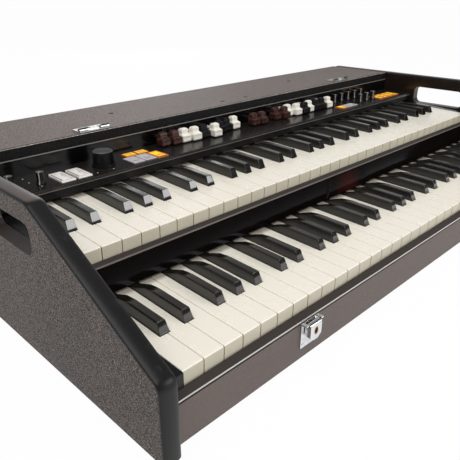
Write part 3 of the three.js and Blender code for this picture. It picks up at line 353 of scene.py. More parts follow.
@dataclass(frozen=True)
class Polished(Finish):
    """Polished black plastic with fine wiping marks."""

    base: str
    roughness: float

    def paint(self, graph: Graph) -> None:
        """Lays wiping marks along the panel into the gloss."""
        wiped = graph.noise(30.0, detail=6.0, rough=0.65, place=graph.stretched((0.25, 3.0, 3.0)))
        prints = graph.step(graph.noise(45.0, detail=3.0), 0.55, 0.7)
        graph.set(
            Base_Color=graph.mix(prints * 0.15, self.base, "#242122"),
            Roughness=self.roughness + 0.05 * wiped + 0.04 * prints,
        )
        graph.relief(wiped, 0.01 * MM)


@dataclass(frozen=True)
class KeyPlastic(Finish):
    """Moulded natural keys, cream on top, with painted shade on their fronts, in the gaps near their noses and on
    their tails, paler flanks as painted light and a painted highlight on the top front edge.
    """

    top: str
    # painted shade colour of the fronts
    front: str
    # painted shade colour of the gaps between keys near their noses
    flank: str
    aged: str
    # painted shadow colour of the tails under the part above
    tail_shade: str
    level: float = 0.0
    tail: float = 0.0
    nose: float = 0.0

    def paint(self, graph: Graph) -> None:
        """Lays the cream of the tops, painted shade on fronts, gaps and tails, paler flanks and a near-white front
        edge as painted light, faint ageing and a gloss that fingers rub uneven.
        """
        upward = graph.step(graph.axis("Z", "Normal"), 0.25, 0.8)
        sideways = graph.step(abs(graph.axis("X", "Normal")), 0.4, 0.8)
        ageing = graph.step(graph.noise(9.0, detail=3.0), 0.45, 0.75)
        touched = graph.step(graph.noise(26.0, detail=4.0, rough=0.6), 0.42, 0.66)
        sunk = 1 - graph.step(graph.axis("Z"), self.level - 1.6 * MM, self.level - 0.6 * MM)
        # painted shade: sunk flanks near the nose take the brown flank colour of the dark gaps
        gap = sunk * (1 - graph.step(graph.axis("Y"), self.nose + 1.4 * MM, self.nose + 2.6 * MM))
        # painted shade greys the fronts; other flanks are painted paler than the tops as painted light in the gaps
        upright = graph.mix(sideways, self.front, graph.mix(gap, "#FFFAEA", self.flank))
        # painted highlight: the rounding between top and front is painted near white
        edge = upward * (1 - graph.step(graph.axis("Z", "Normal"), 0.86, 0.97))
        keys_before_tail_shade = graph.mix(edge, graph.mix(upward, upright, self.top), "#FFFDF4")
        # painted shadow of the part above darkens the tails
        shaded_tail = graph.step(graph.axis("Y"), self.tail - 10.0 * MM, self.tail - 1.0 * MM)
        toned = graph.mix(shaded_tail * 0.7, keys_before_tail_shade, self.tail_shade)
        graph.set(
            Base_Color=graph.mix(ageing * 0.15, toned, self.aged),
            Roughness=0.2 + 0.14 * touched + 0.12 * (1 - upward),
        )
        graph.relief(graph.noise(240.0, detail=3.0), 0.012 * MM)


@dataclass(frozen=True)
class SharpPlastic(Finish):
    """Moulded sharps, satin on their flat tops and glossy elsewhere."""

    base: str
    # paler top tone: partly wear, partly painted sheen
    wear_and_sheen: str

    def paint(self, graph: Graph) -> None:
        """Lays lengthwise streaks of a paler tone on the tops, partly wear and partly painted sheen, and keeps the
        leaning fronts bright.
        """
        upward = graph.step(graph.axis("Z", "Normal"), 0.8, 0.98)
        sideways = graph.step(abs(graph.axis("X", "Normal")), 0.5, 0.85)
        streaks = graph.noise(120.0, detail=5.0, rough=0.6, place=graph.stretched((5.0, 0.6, 1.0)))
        graph.set(
            # paler streaks on the tops: partly wear, partly painted sheen
            Base_Color=graph.mix(upward * graph.step(streaks, 0.35, 0.75) * 0.5, self.base, self.wear_and_sheen),
            Roughness=0.06 + 0.1 * upward + 0.24 * sideways + 0.05 * streaks,
            Coat_Weight=0.8 * (1 - upward) * (1 - sideways),
            Coat_Roughness=0.03,
        )
        graph.relief(streaks, 0.004 * MM)


@dataclass(frozen=True)
class EdgeStrip(Finish):
    """Extruded edge strip of satin plastic, with scuffs where it is knocked in transport."""

    base: str
    scuffed: str
    # painted sheen colour of the level run
    level: str

    def paint(self, graph: Graph) -> None:
        """Lays scuffs and short nicks over the strip, and paints its level run greyer as painted sheen where light
        falls on it.
        """
        scuffs = graph.step(graph.noise(48.0, detail=7.0, rough=0.72), 0.56, 0.72)
        nicks = graph.step(graph.cells(170.0), 0.02, 0.1)
        # painted sheen: the level run is painted greyer where light falls on it
        level = graph.step(graph.axis("Z", "Normal"), 0.94, 0.99)
        graph.set(
            Base_Color=graph.mix(scuffs * 0.35, graph.mix(level, self.base, self.level), self.scuffed),
            Roughness=0.34 + 0.2 * scuffs,
        )
        graph.relief(graph.noise(700.0, detail=4.0) * 0.3 + nicks * 0.7, 0.05 * MM)


@dataclass(frozen=True)
class Plated(Finish):
    """Plated metal, with faint rubbing marks and tarnish."""

    base: str
    tarnish: str
    roughness: float = 0.12

    def paint(self, graph: Graph) -> None:
        """Lays rubbing marks and a trace of tarnish on the plating."""
        rubbed = graph.noise(260.0, detail=5.0, rough=0.6, place=graph.stretched((1.0, 1.0, 6.0)))
        dull = graph.step(graph.noise(70.0, detail=4.0), 0.5, 0.75)
        graph.set(
            Base_Color=graph.mix(dull * 0.5, self.base, self.tarnish),
            Metallic=1.0,
            Roughness=self.roughness + 0.1 * rubbed + 0.12 * dull,
        )
        graph.relief(rubbed, 0.01 * MM)


@dataclass(frozen=True)
class Moulded(Finish):
    """Moulded plastic of one colour, with a slight grain and rubbed high spots."""

    base: str
    rubbed: str
    roughness: float
    grain: float = 0.02 * MM

    def paint(self, graph: Graph) -> None:
        """Lays the grain and the rubbed spots."""
        clouds = graph.step(graph.noise(90.0, detail=4.0), 0.4, 0.7)
        graph.set(
            Base_Color=graph.mix(clouds * 0.25, self.base, self.rubbed),
            Roughness=self.roughness - 0.04 + 0.1 * clouds,
        )
        graph.relief(graph.noise(900.0, detail=3.0), self.grain)


@dataclass(frozen=True)
class LitCap(Finish):
    """Translucent button cap with a lamp under its middle."""

    rim: str
    body: str
    heart: str
    strength: float

    def paint(self, graph: Graph) -> None:
        """Lets the cap glow brightest in the middle, by the cap's own heart attribute."""
        middle = graph.node("ShaderNodeAttribute", {"attribute_name": "heart"}, output="Fac")
        flicker = graph.noise(130.0, detail=3.0)
        glow = graph.mix(graph.step(middle + 0.25 * (flicker - 0.5), 0.2, 1.0), self.body, self.heart)
        shown = graph.mix(graph.step(middle, 0.04, 0.5), self.rim, glow)
        graph.set(
            Base_Color=graph.mix(0.5, shown, self.body),
            Roughness=0.22 + 0.08 * flicker,
            Emission_Color=shown,
            Emission_Strength=self.strength,
        )
        graph.relief(flicker, 0.01 * MM)


@dataclass(frozen=True)
class Plywood(Finish):
    """Dark-stained plywood with its layers showing on the edges."""

    pale: str
    dark: str

    def paint(self, graph: Graph) -> None:
        """Lays long grain on the faces and layers on the edges."""
        grain = graph.noise(22.0, detail=6.0, rough=0.65, place=graph.stretched((0.3, 6.0, 6.0)))
        height = graph.axis("Z") * 2600.0
        layers = graph.node("ShaderNodeMath", {"operation": "SINE"}, {0: height})
        flank = 1 - graph.step(abs(graph.axis("Z", "Normal")), 0.3, 0.7)
        graph.set(
            Base_Color=graph.mix(graph.step(grain + layers * flank * 0.2, 0.35, 0.7), self.dark, self.pale),
            Roughness=0.6 + 0.15 * grain,
        )
        graph.relief(grain, 0.08 * MM)


@dataclass(frozen=True)
class Circuit(Finish):
    """Circuit board with copper tracks under green lacquer."""

    lacquer: str
    copper: str

    def paint(self, graph: Graph) -> None:
        """Lays tracks and pads under the lacquer."""
        tracks = graph.step(graph.cells(210.0, "DISTANCE_TO_EDGE", graph.stretched((1.0, 3.0, 1.0))), 0.05, 0.09)
        pads = graph.step(graph.cells(300.0), 0.12, 0.16)
        graph.set(
            Base_Color=graph.mix(tracks * pads, self.copper, self.lacquer),
            Roughness=0.32 + 0.1 * graph.noise(80.0),
        )
        graph.relief(tracks, 0.035 * MM)


@dataclass(frozen=True)
class GlowingWindow(Finish):
    """Dark translucent window that a lamp lights from behind, fading towards its ends."""

    glass: str
    glow: str
    centre: tuple[float, float, float]
    reach: float
    strength: float

    def paint(self, graph: Graph) -> None:
        """Fades the glow with the distance from the window's centre."""
        offset = graph.node(
            "ShaderNodeVectorMath", {"operation": "SUBTRACT"}, {0: graph.place(), 1: self.centre}
        )
        away = graph.node("ShaderNodeVectorMath", {"operation": "LENGTH"}, {0: offset}, "Value")
        cloud = graph.noise(55.0, detail=3.0)
        lit = 1 - graph.step(away + (cloud - 0.5) * 0.012, 0.0, self.reach)
        graph.set(
            Base_Color=self.glass,
            Roughness=0.08 + 0.06 * cloud,
            Emission_Color=graph.mix(lit, "#000000", self.glow),
            Emission_Strength=self.strength,
        )
        graph.relief(cloud, 0.01 * MM)


# coverings: the crease colour is painted shade in the grain, the pale colour partly wear and partly painted highlight
COVERING_SIDE = Covering("covering_of_the_sides", "#7E7068", "#2A2421", "#B3A79E", 1.7 * MM, 0.5 * MM, 0.4, 0.3)
COVERING_TOP = Covering(
    "covering_of_the_cover", "#91827C", "#554B47", "#B0A49E", 1.4 * MM, 0.22 * MM, 0.35, shine=0.85
)
COVERING_RAIL = Covering(
    "covering_of_the_rail", "#756A65", "#665C58", "#7F746F", 0.9 * MM, 0.05 * MM, 0.2, shine=0.3
)
COVERING_BLACK = Covering("black_covering", "#191717", "#090808", "#4A4542", 1.1 * MM, 0.3 * MM, shine=0.3)
# painted highlight of the grain along the cover's front edge
COVERING_EDGE_HIGHLIGHT = Covering("painted_highlight_on_cover_edge", "#CFC6BE", "#8E857F", "#EDE8E2", 2.8 * MM, 0.2 * MM, 0.9, 0.3)
INNER_GLOSS = Polished("gloss_inside_the_sides", "#231B17", 0.16, shine=0.5)
SLOT_LINING = Polished("lining_of_the_slots", "#38322F", 0.34, shine=0.5)
RAIL_SHADOW = Polished("painted_shadow_over_the_rail", "#0D0B0A", 0.4, shine=0.2)
DECK_PAINT = Enamel("deck_paint", "#1F1D1C", "#5F5B57", 0.24, shine=0.3)
SKIRT_PAINT = Enamel("skirt_paint", "#151313", "#3A3735", 0.45, shine=0.25)
# painted highlight along the lip's lower edge
EDGE_HIGHLIGHT = Enamel("painted_highlight_on_lip_edge", "#6F6A66", "#A09A94", 0.34)
SLIP_EDGE = Enamel("pale_slip_edges", "#C6C2BC", "#E2DED8", 0.3)
# dimmer painted highlight lines along the lip
LIP_HIGHLIGHT = Enamel("painted_highlight_lines_on_lip", "#3A3634", "#4A4643", 0.4)
BED_EDGE = Enamel("pale_upper_slip_edge", "#7D7570", "#A39B95", 0.34)
UPSTAND_BEAD = Enamel("upstand_bead_paint", "#7E7976", "#A7A29E", 0.36)
SLIP_PAINT = Enamel("slip_paint", "#3A3330", "#6A625D", 0.42, shine=0.3)
UPSTAND_GLOSS = Polished("upstand_gloss", "#0C0A0A", 0.16, shine=0.3)
PANEL_GLOSS = Polished("panel_gloss", "#0B0A09", 0.14, shine=0.22)
END_BLOCK_GLOSS = Polished("end_block_gloss", "#121111", 0.2, shine=0.3)
# natural keys: the front and flank colours are painted shade, the last colour painted shadow on the tails
NATURAL_KEYS = KeyPlastic("natural_key_plastic", "#F3EDDF", "#C8C1AE", "#B5985F", "#EBE2CA", "#4B4033", shine=0.4)
# the second colour is partly wear, partly painted sheen on the tops
SHARP_KEYS = SharpPlastic("sharp_key_plastic", "#120F0B", "#2C2926", shine=0.9)
# the last colour is painted sheen on the strip's level run
TRIM_STRIP = EdgeStrip("edge_strip_plastic", "#1D1C1C", "#4A4746", "#524A46", shine=0.25)
CHROME = Plated("plated_steel", "#E2E3E6", "#A9AAAB")
PLATE_BRIGHT = Plated("plated_sheet", "#C9CCC9", "#9A9D99", 0.28)
BRASS = Plated("brass_eyelet", "#B08D4A", "#6E5529", 0.2)
# blackened steel, also the painted dark reflection on the hinge knuckle tops
DARK_STEEL_AND_PAINTED_REFLECTION = Plated("blackened_steel", "#2C2B2B", "#151414", 0.3)
EYE_BROWN = Plated("browned_steel", "#3A2A14", "#120D08", 0.4)
STEM_METAL = Plated("stem_metal", "#8F9091", "#5F5F60", 0.25)
BROWN_CAPS = Moulded("brown_cap_plastic", "#3A211B", "#6B473C", 0.26)
WHITE_CAPS = Moulded("white_cap_plastic", "#F2EDE2", "#E6DFD0", 0.3)
BLACK_CAPS = Moulded("black_cap_plastic", "#100F10", "#252424", 0.24, shine=0.4)
KNOB_BLACK = Moulded("knob_plastic", "#131315", "#242426", 0.36, shine=0.35)
# painted sheen on the knob tops
KNOB_TOP_SHEEN = Moulded("knob_top_painted_sheen", "#4A4B4B", "#5C5E5D", 0.4, shine=0.4)
POINTER_TOP_SHEEN = Moulded("pointer_top_painted_sheen", "#5D5B58", "#75726E", 0.3)
BUTTON_WHITE = Moulded("button_plastic", "#CFC8CC", "#B6AFB6", 0.3)
# painted shade on the sides of unlit caps
BUTTON_SIDE_SHADE = Moulded("painted_shade_on_button_sides", "#6F6A6D", "#5A5659", 0.35)
TAB_WHITE = Moulded("tab_plastic", "#EBE5E0", "#DDD6D0", 0.28)
SOCKET_BLACK = Moulded("socket_plastic", "#1A1A1B", "#303032", 0.45)
FOOT_RUBBER = Moulded("foot_rubber", "#161616", "#2B2B2B", 0.75, 0.08 * MM)
WHITE_INK = Moulded("white_ink", "#D9D5CE", "#B9B4AC", 0.5)
POINTER_INK = Moulded("pointer_line_ink", "#B4B1AB", "#96938D", 0.5)
# dark print on the cap bars, and painted shade in the tab lines
DARK_INK_AND_SHADE = Moulded("dark_ink_and_painted_shade", "#332E2D", "#4A4442", 0.5)
AMBER_INK = Moulded("amber_ink", "#5C2A0C", "#7A3E14", 0.4)
BUTTON_LIT = LitCap("lit_button_plastic", "#57290F", "#D9842A", "#FFDC46", 0.62)
BOARD_WOOD = Plywood("stained_plywood", "#4A3625", "#2A1E15")
BOARD_CIRCUIT = Circuit("lacquered_circuit", "#1D5534", "#9C7B3C")
BADGE_GLOW = GlowingWindow("lit_badge_window", "#0A0606", "#4A150E", (0.009, -0.092, 0.089), 0.04, 0.3, shine=0.15)


class Part(Enum):
    """What is selected in edit mode."""

    FACE = "FACE"
    EDGE = "EDGE"
    VERT = "VERT"


Test = Callable[[Vector, Vector], bool]


class Bench:
    """Blender's own modelling operators, used on one piece at a time."""

    @staticmethod
    def only(piece: bpy.types.Object) -> None:
        """Leaves this piece alone selected and active."""
        bpy.ops.object.select_all(action="DESELECT")
        piece.select_set(True)
        bpy.context.view_layer.objects.active = piece

    @staticmethod
    def named(name: str) -> bpy.types.Object:
        """Names the piece that was just added and moves its place into its mesh."""
        piece = bpy.context.object
        piece.name = name
        piece.data.name = name
        Bench.only(piece)
        bpy.ops.object.transform_apply(location=True, rotation=True, scale=True)
        return piece

    @staticmethod
    def block(name: str, low: Sequence[float], high: Sequence[float]) -> bpy.types.Object:
        """Adds a block.

        Args:
            name: The piece's name.
            low: Its lowest corner.
            high: Its highest corner.

        Returns:
            The block, to be shaped further.
        """
        bpy.ops.object.select_all(action="DESELECT")
        middle = [(a + b) / 2 for a, b in zip(low, high)]
        size = [b - a for a, b in zip(low, high)]
        bpy.ops.mesh.primitive_cube_add(size=1.0, location=middle, scale=size)
        return Bench.named(name)

    @staticmethod
    def drum(
        name: str, centre: Sequence[float], radius: float, depth: float, sides: int, turn: Sequence[float] = (0, 0, 0)
    ) -> bpy.types.Object:
        """Adds an upright drum.

        Args:
            name: The piece's name.
            centre: The middle of the drum.
            radius: Its radius.
            depth: Its height.
            sides: Number of sides.
            turn: Angles that lay it over.

        Returns:
            The drum, to be shaped further.
        """
        bpy.ops.object.select_all(action="DESELECT")
        bpy.ops.mesh.primitive_cylinder_add(
            vertices=sides, radius=radius, depth=depth, location=centre, rotation=turn
        )
        return Bench.named(name)

    @staticmethod
    @contextmanager
    def editing(piece: bpy.types.Object) -> Iterator[None]:
        """Opens edit mode on one piece and closes it again."""
        Bench.only(piece)
        bpy.ops.object.mode_set(mode="EDIT")
        yield
        bpy.ops.object.mode_set(mode="OBJECT")

    @staticmethod
    def pick(piece: bpy.types.Object, part: Part, test: Test) -> int:
        """Selects what passes a test, in edit mode.

        Args:
            piece: The piece that is edited.
            part: Faces, edges or vertices.
            test: Takes a part's middle and its normal or, for an edge, its direction.

        Returns:
            How many were selected.
        """
        bpy.ops.mesh.select_mode(type=part.value)
        bpy.ops.mesh.select_all(action="DESELECT")
        mesh = bmesh.from_edit_mesh(piece.data)
        if part is Part.FACE:
            found = [face for face in mesh.faces if test(face.calc_center_median(), face.normal)]
        elif part is Part.EDGE:
            found = [
                edge for edge in mesh.edges
                if test(
                    (edge.verts[0].co + edge.verts[1].co) / 2,
                    (edge.verts[1].co - edge.verts[0].co).normalized(),
                )
            ]
        else:
            found = [vert for vert in mesh.verts if test(vert.co, vert.normal)]
        for item in found:
            item.select_set(True)
        mesh.select_flush(True)
        bmesh.update_edit_mesh(piece.data)
        return len(found)

    @staticmethod
    def extrude(shift: Sequence[float]) -> None:
        """Extrudes what is selected and moves it."""
        bpy.ops.mesh.extrude_region_move(TRANSFORM_OT_translate={"value": tuple(shift)})

    @staticmethod
    def resize(scale: Sequence[float], centre: Sequence[float]) -> None:
        """Scales what is selected about a point."""
        bpy.ops.transform.resize(value=tuple(scale), center_override=tuple(centre))

    @staticmethod
    def ease(piece: bpy.types.Object, width: float, segments: int = 2, angle: float = 30.0) -> None:
        """Rounds the edges of a piece and shades it smooth.

        Args:
            piece: The piece to finish.
            width: Width of the rounding.
            segments: Steps of the rounding.
            angle: Edges flatter than this many degrees stay.
        """
        Bench.only(piece)
        bevel = piece.modifiers.new("ease", "BEVEL")
        bevel.width = width
        bevel.segments = segments
        bevel.limit_method = "ANGLE"
        bevel.angle_limit = math.radians(angle)
        bpy.ops.object.modifier_apply(modifier=bevel.name)
        bpy.ops.object.shade_smooth_by_angle(angle=math.radians(angle + 8))
        even = piece.modifiers.new("even", "WEIGHTED_NORMAL")
        even.keep_sharp = True
        bpy.ops.object.modifier_apply(modifier=even.name)

    @staticmethod
    def copied(piece: bpy.types.Object, name: str, shift: Sequence[float] = (0, 0, 0)) -> bpy.types.Object:
        """Copies a piece with its own mesh.

        Args:
            piece: The piece to copy.
            name: Name of the copy.
            shift: How far the copy's mesh is moved.

        Returns:
            The copy, at the origin.
        """
        mesh = piece.data.copy()
        mesh.transform(Matrix.Translation(Vector(shift)))
        mesh.name = name
        twin = bpy.data.objects.new(name, mesh)
        bpy.context.scene.collection.objects.link(twin)
        return twin

    @staticmethod
    def joined(pieces: Sequence[bpy.types.Object]) -> bpy.types.Object:
        """Joins pieces into the first of them."""
        Bench.only(pieces[0])
        for piece in pieces[1:]:
            piece.select_set(True)
        bpy.ops.object.join()
        return pieces[0]

    @staticmethod
    def drop(piece: bpy.types.Object) -> None:
        """Takes a pattern piece off the scene."""
        bpy.data.objects.remove(piece, do_unlink=True)

    @staticmethod
    def dress(
        piece: bpy.types.Object,
        finishes: Sequence[Finish],
        rule: Optional[Callable[[Vector, Vector], int]] = None,
    ) -> None:
        """Gives a piece its finishes.

        Args:
            piece: The piece.
            finishes: One finish or several.
            rule: Gives a face's finish, by number, from its middle and normal.
        """
        piece.data.materials.clear()
        for finish in finishes:
            piece.data.materials.append(finish.material())
        for face in piece.data.polygons:
            face.material_index = rule(face.center, face.normal) if rule else 0

    @staticmethod
    def seat(piece: bpy.types.Object, body: str, slot: str, nodes: Sequence[str] = ()) -> None:
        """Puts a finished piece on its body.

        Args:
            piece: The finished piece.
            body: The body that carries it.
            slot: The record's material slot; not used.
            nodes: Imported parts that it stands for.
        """
        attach(piece, body)
        if nodes:
            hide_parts(*nodes)
        log.info("%s: %d faces on %s", piece.name, len(piece.data.polygons), body)


def body_of(node: str) -> str:
    """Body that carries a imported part."""
    return node if node in frame["bodies"] else CASE


@dataclass
class EasedPart:
    """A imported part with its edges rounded, which then stands for it."""

    node: str
    slot: str
    finishes: tuple[Finish, ...]
    rule: Optional[Callable[[Vector, Vector], int]] = None
    width: float = 0.5 * MM
    segments: int = 2
    angle: float = 30.0

    def shaped(self) -> bpy.types.Object:
        """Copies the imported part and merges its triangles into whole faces."""
        mesh = frame["nodes"][self.node].data.copy()
        piece = bpy.data.objects.new(self.node + "_dressed", mesh)
        bpy.context.scene.collection.objects.link(piece)
        with Bench.editing(piece):
            bpy.ops.mesh.select_all(action="SELECT")
            bpy.ops.mesh.remove_doubles(threshold=0.004 * MM)
            bpy.ops.mesh.dissolve_limited(angle_limit=math.radians(0.6))
        return piece

    def finished(self, piece: bpy.types.Object) -> bpy.types.Object:
        """Rounds, dresses and seats the shaped piece."""
        Bench.ease(piece, self.width, self.segments, self.angle)
        Bench.dress(piece, self.finishes, self.rule)
        Bench.seat(piece, body_of(self.node), self.slot, [self.node])
        return piece

    def build(self) -> bpy.types.Object:
        """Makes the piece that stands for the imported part."""
        return self.finished(self.shaped())


@dataclass
class Carcass:
    """The case: covered boards, cover, feet and latch plates."""

    foot_level: float = 8.0 * MM
    cover_wrap: float = 3.2 * MM
    rail_shadow: float = 1.7 * MM
    slot_front: float = -67.0 * MM
    slot_rear: float = 39.0 * MM
    slot_foot: float = 126.0 * MM
    slot_top: float = 162.0 * MM

    def build(self) -> None:
        """Dresses every board of the case."""
        for side, sign in (("left", -1), ("right", 1)):
            self._side(side, sign)
        self._cover()
        self._rail()
        EasedPart("rear_panel", "grained_covering", (COVERING_SIDE, BOARD_WOOD), self._rear_rule(), 0.8 * MM).build()
        EasedPart("base_board", "plywood", (BOARD_WOOD, FOOT_RUBBER, COVERING_BLACK), self._base_rule).build()

    def _side(self, side: str, sign: int) -> None:
        """Covers a side panel outside, varnishes it inside and darkens its hand slot."""
        def rule(middle: Vector, normal: Vector) -> int:
            in_slot = (
                self.slot_front < middle.y < self.slot_rear and self.slot_foot < middle.z < self.slot_top
            )
            if in_slot and abs(normal.x) < 0.5:
                return 2
            return 1 if normal.x * sign < -0.7 else 0

        finishes = (COVERING_SIDE, INNER_GLOSS, SLOT_LINING)
        EasedPart(f"{side}_side_panel", "grained_covering", finishes, rule, 0.8 * MM).build()

    def _cover(self) -> None:
        """Covers the top in the pale covering; the black one wraps over its front edge, and the rounding of that edge
        is painted pale as a highlight.
        """
        low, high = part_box("top_cover")
        wrap = low.y + self.cover_wrap

        def rule(middle: Vector, normal: Vector) -> int:
            if middle.y < wrap:
                # painted highlight: the rounding of the front edge is painted pale
                return 3 if 0.2 < normal.z < 0.9 and middle.z > high.z - 2 * MM else 1
            return 2 if middle.z < high.z - 0.5 * MM and normal.z > 0.5 else 0

        finishes = (COVERING_TOP, COVERING_BLACK, DARK_STEEL_AND_PAINTED_REFLECTION, COVERING_EDGE_HIGHLIGHT)
        cover = EasedPart("top_cover", "grained_covering", finishes, rule, 0.9 * MM, 3)
        shaped = cover.shaped()
        self._cut(shaped, (0, wrap, 0), (0, 1, 0))
        cover.finished(shaped)

    def _rail(self) -> None:
        """Covers the front rail, paints a shadow as a dark line under its top and plates the latch plates on it."""
        slip_low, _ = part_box("lower_key_slip")
        _, rail_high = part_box("front_rail")
        face = slip_low.y
        shadow = rail_high.z - self.rail_shadow

        def rule(middle: Vector, normal: Vector) -> int:
            if middle.y < face - 0.05 * MM:
                return 1
            # painted shadow: a dark band along the top of the rail, under the slip
            return 2 if middle.z > shadow else 0

        finishes = (COVERING_RAIL, CHROME, RAIL_SHADOW)
        rail = EasedPart("front_rail", "grained_covering", finishes, rule, 0.3 * MM)
        shaped = rail.shaped()
        self._cut(shaped, (0, 0, shadow), (0, 0, 1))
        rail.finished(shaped)

    @staticmethod
    def _cut(piece: bpy.types.Object, place: Sequence[float], normal: Sequence[float]) -> None:
        """Scores a piece all round, so that its faces end where a finish ends."""
        with Bench.editing(piece):
            bpy.ops.mesh.select_all(action="SELECT")
            bpy.ops.mesh.bisect(plane_co=tuple(place), plane_no=tuple(normal))

    @staticmethod
    def _rear_rule() -> Callable[[Vector, Vector], int]:
        """Bare wood on the inside of the rear panel."""
        low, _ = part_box("rear_panel")
        return lambda middle, normal: 1 if middle.y < low.y + 1 * MM else 0

    def _base_rule(self, middle: Vector, normal: Vector) -> int:
        """Rubber feet, black covering under the board and stained wood above."""
        if middle.z < self.foot_level - 0.2 * MM:
            return 1
        return 2 if middle.z < self.foot_level + 1 * MM else 0


@dataclass
class EdgeStripRun:
    """The half-round strip that runs round the edge of a side panel."""

    side: str
    crown: float = 3.0 * MM
    shoulder: float = 0.7 * MM
    nose_radius: float = 9.0 * MM
    bend_radius: float = 18.0 * MM
    rear_radius: float = 8.0 * MM
    slant: float = math.radians(28.0)
    bend_place: float = 83.1 * MM - 17.1 * MM
    points: int = 24
    steps: int = 9

    def build(self) -> bpy.types.Object:
        """Draws the section at the foot of the nose and runs it round the panel."""
        low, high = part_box(f"{self.side}_edge_trim")
        front = low.y + self.crown
        rear = high.y - self.crown
        top = high.z - self.crown
        bend = -self.bend_place
        nose = top - math.tan(self.slant) * (bend - front)
        half = (high.x - low.x) / 2
        middle = (low.x + high.x) / 2
        strip = self._section(middle, front, low.z, half)
        rise = math.pi / 2
        with Bench.editing(strip):
            bpy.ops.mesh.select_all(action="SELECT")
            reach = self.nose_radius * math.tan((rise - self.slant) / 2)
            self._run((0, 0, nose - reach - low.z))
            self._turn((middle, front + self.nose_radius, nose - reach), rise - self.slant)
            bend_reach = self.bend_radius * math.tan(self.slant / 2)
            length = math.hypot(bend - front, top - nose) - reach - bend_reach
            self._run((0, length * math.cos(self.slant), length * math.sin(self.slant)))
            self._turn((middle, bend + bend_reach, top - self.bend_radius), self.slant)
            self._run((0, rear - self.rear_radius - bend - bend_reach, 0))
            self._turn((middle, rear - self.rear_radius, top - self.rear_radius), rise)
            self._run((0, 0, low.z - top + self.rear_radius))
            bpy.ops.mesh.select_all(action="SELECT")
            bpy.ops.mesh.remove_doubles(threshold=0.01 * MM)
            bpy.ops.mesh.fill_holes(sides=0)
            bpy.ops.mesh.normals_make_consistent(inside=False)
        Bench.only(strip)
        bpy.ops.object.shade_smooth_by_angle(angle=math.radians(32))
        Bench.dress(strip, (TRIM_STRIP,))
        Bench.seat(strip, CASE, "edge_trim", [f"{self.side}_edge_trim"])
        return strip

    def _section(self, middle: float, front: float, foot: float, half: float) -> bpy.types.Object:
        """Draws half an ellipse on low shoulders, open at its back until that is closed by one edge."""
        bpy.ops.object.select_all(action="DESELECT")
        bpy.ops.mesh.primitive_circle_add(vertices=self.points, radius=1.0, location=(0, 0, 0))
        strip = Bench.named(f"{self.side}_edge_strip")
        with Bench.editing(strip):
            Bench.pick(strip, Part.VERT, lambda place, _: place.y > 0.01)
            bpy.ops.mesh.delete(type="VERT")
            bpy.ops.mesh.select_all(action="SELECT")
            Bench.resize((half, self.crown - self.shoulder, 1), (0, 0, 0))
            bpy.ops.transform.translate(value=(middle, front - self.shoulder, foot))
            for side in (-1, 1):
                Bench.pick(
                    strip,
                    Part.VERT,
                    lambda place, _, side=side: abs(place.x - middle - side * half) < 0.01 * MM
                    and abs(place.y - front + self.shoulder) < 0.01 * MM,
                )
                Bench.extrude((0, self.shoulder, 0))
            Bench.pick(strip, Part.VERT, lambda place, _: abs(place.y - front) < 0.01 * MM)
            bpy.ops.mesh.edge_face_add()
        return strip

    @staticmethod
    def _run(shift: Sequence[float]) -> None:
        """Runs the section straight on."""
        Bench.extrude(shift)

    def _turn(self, centre: Sequence[float], angle: float) -> None:
        """Runs the section round a bend."""
        bpy.ops.mesh.spin(steps=self.steps, angle=angle, center=tuple(centre), axis=(1, 0, 0))


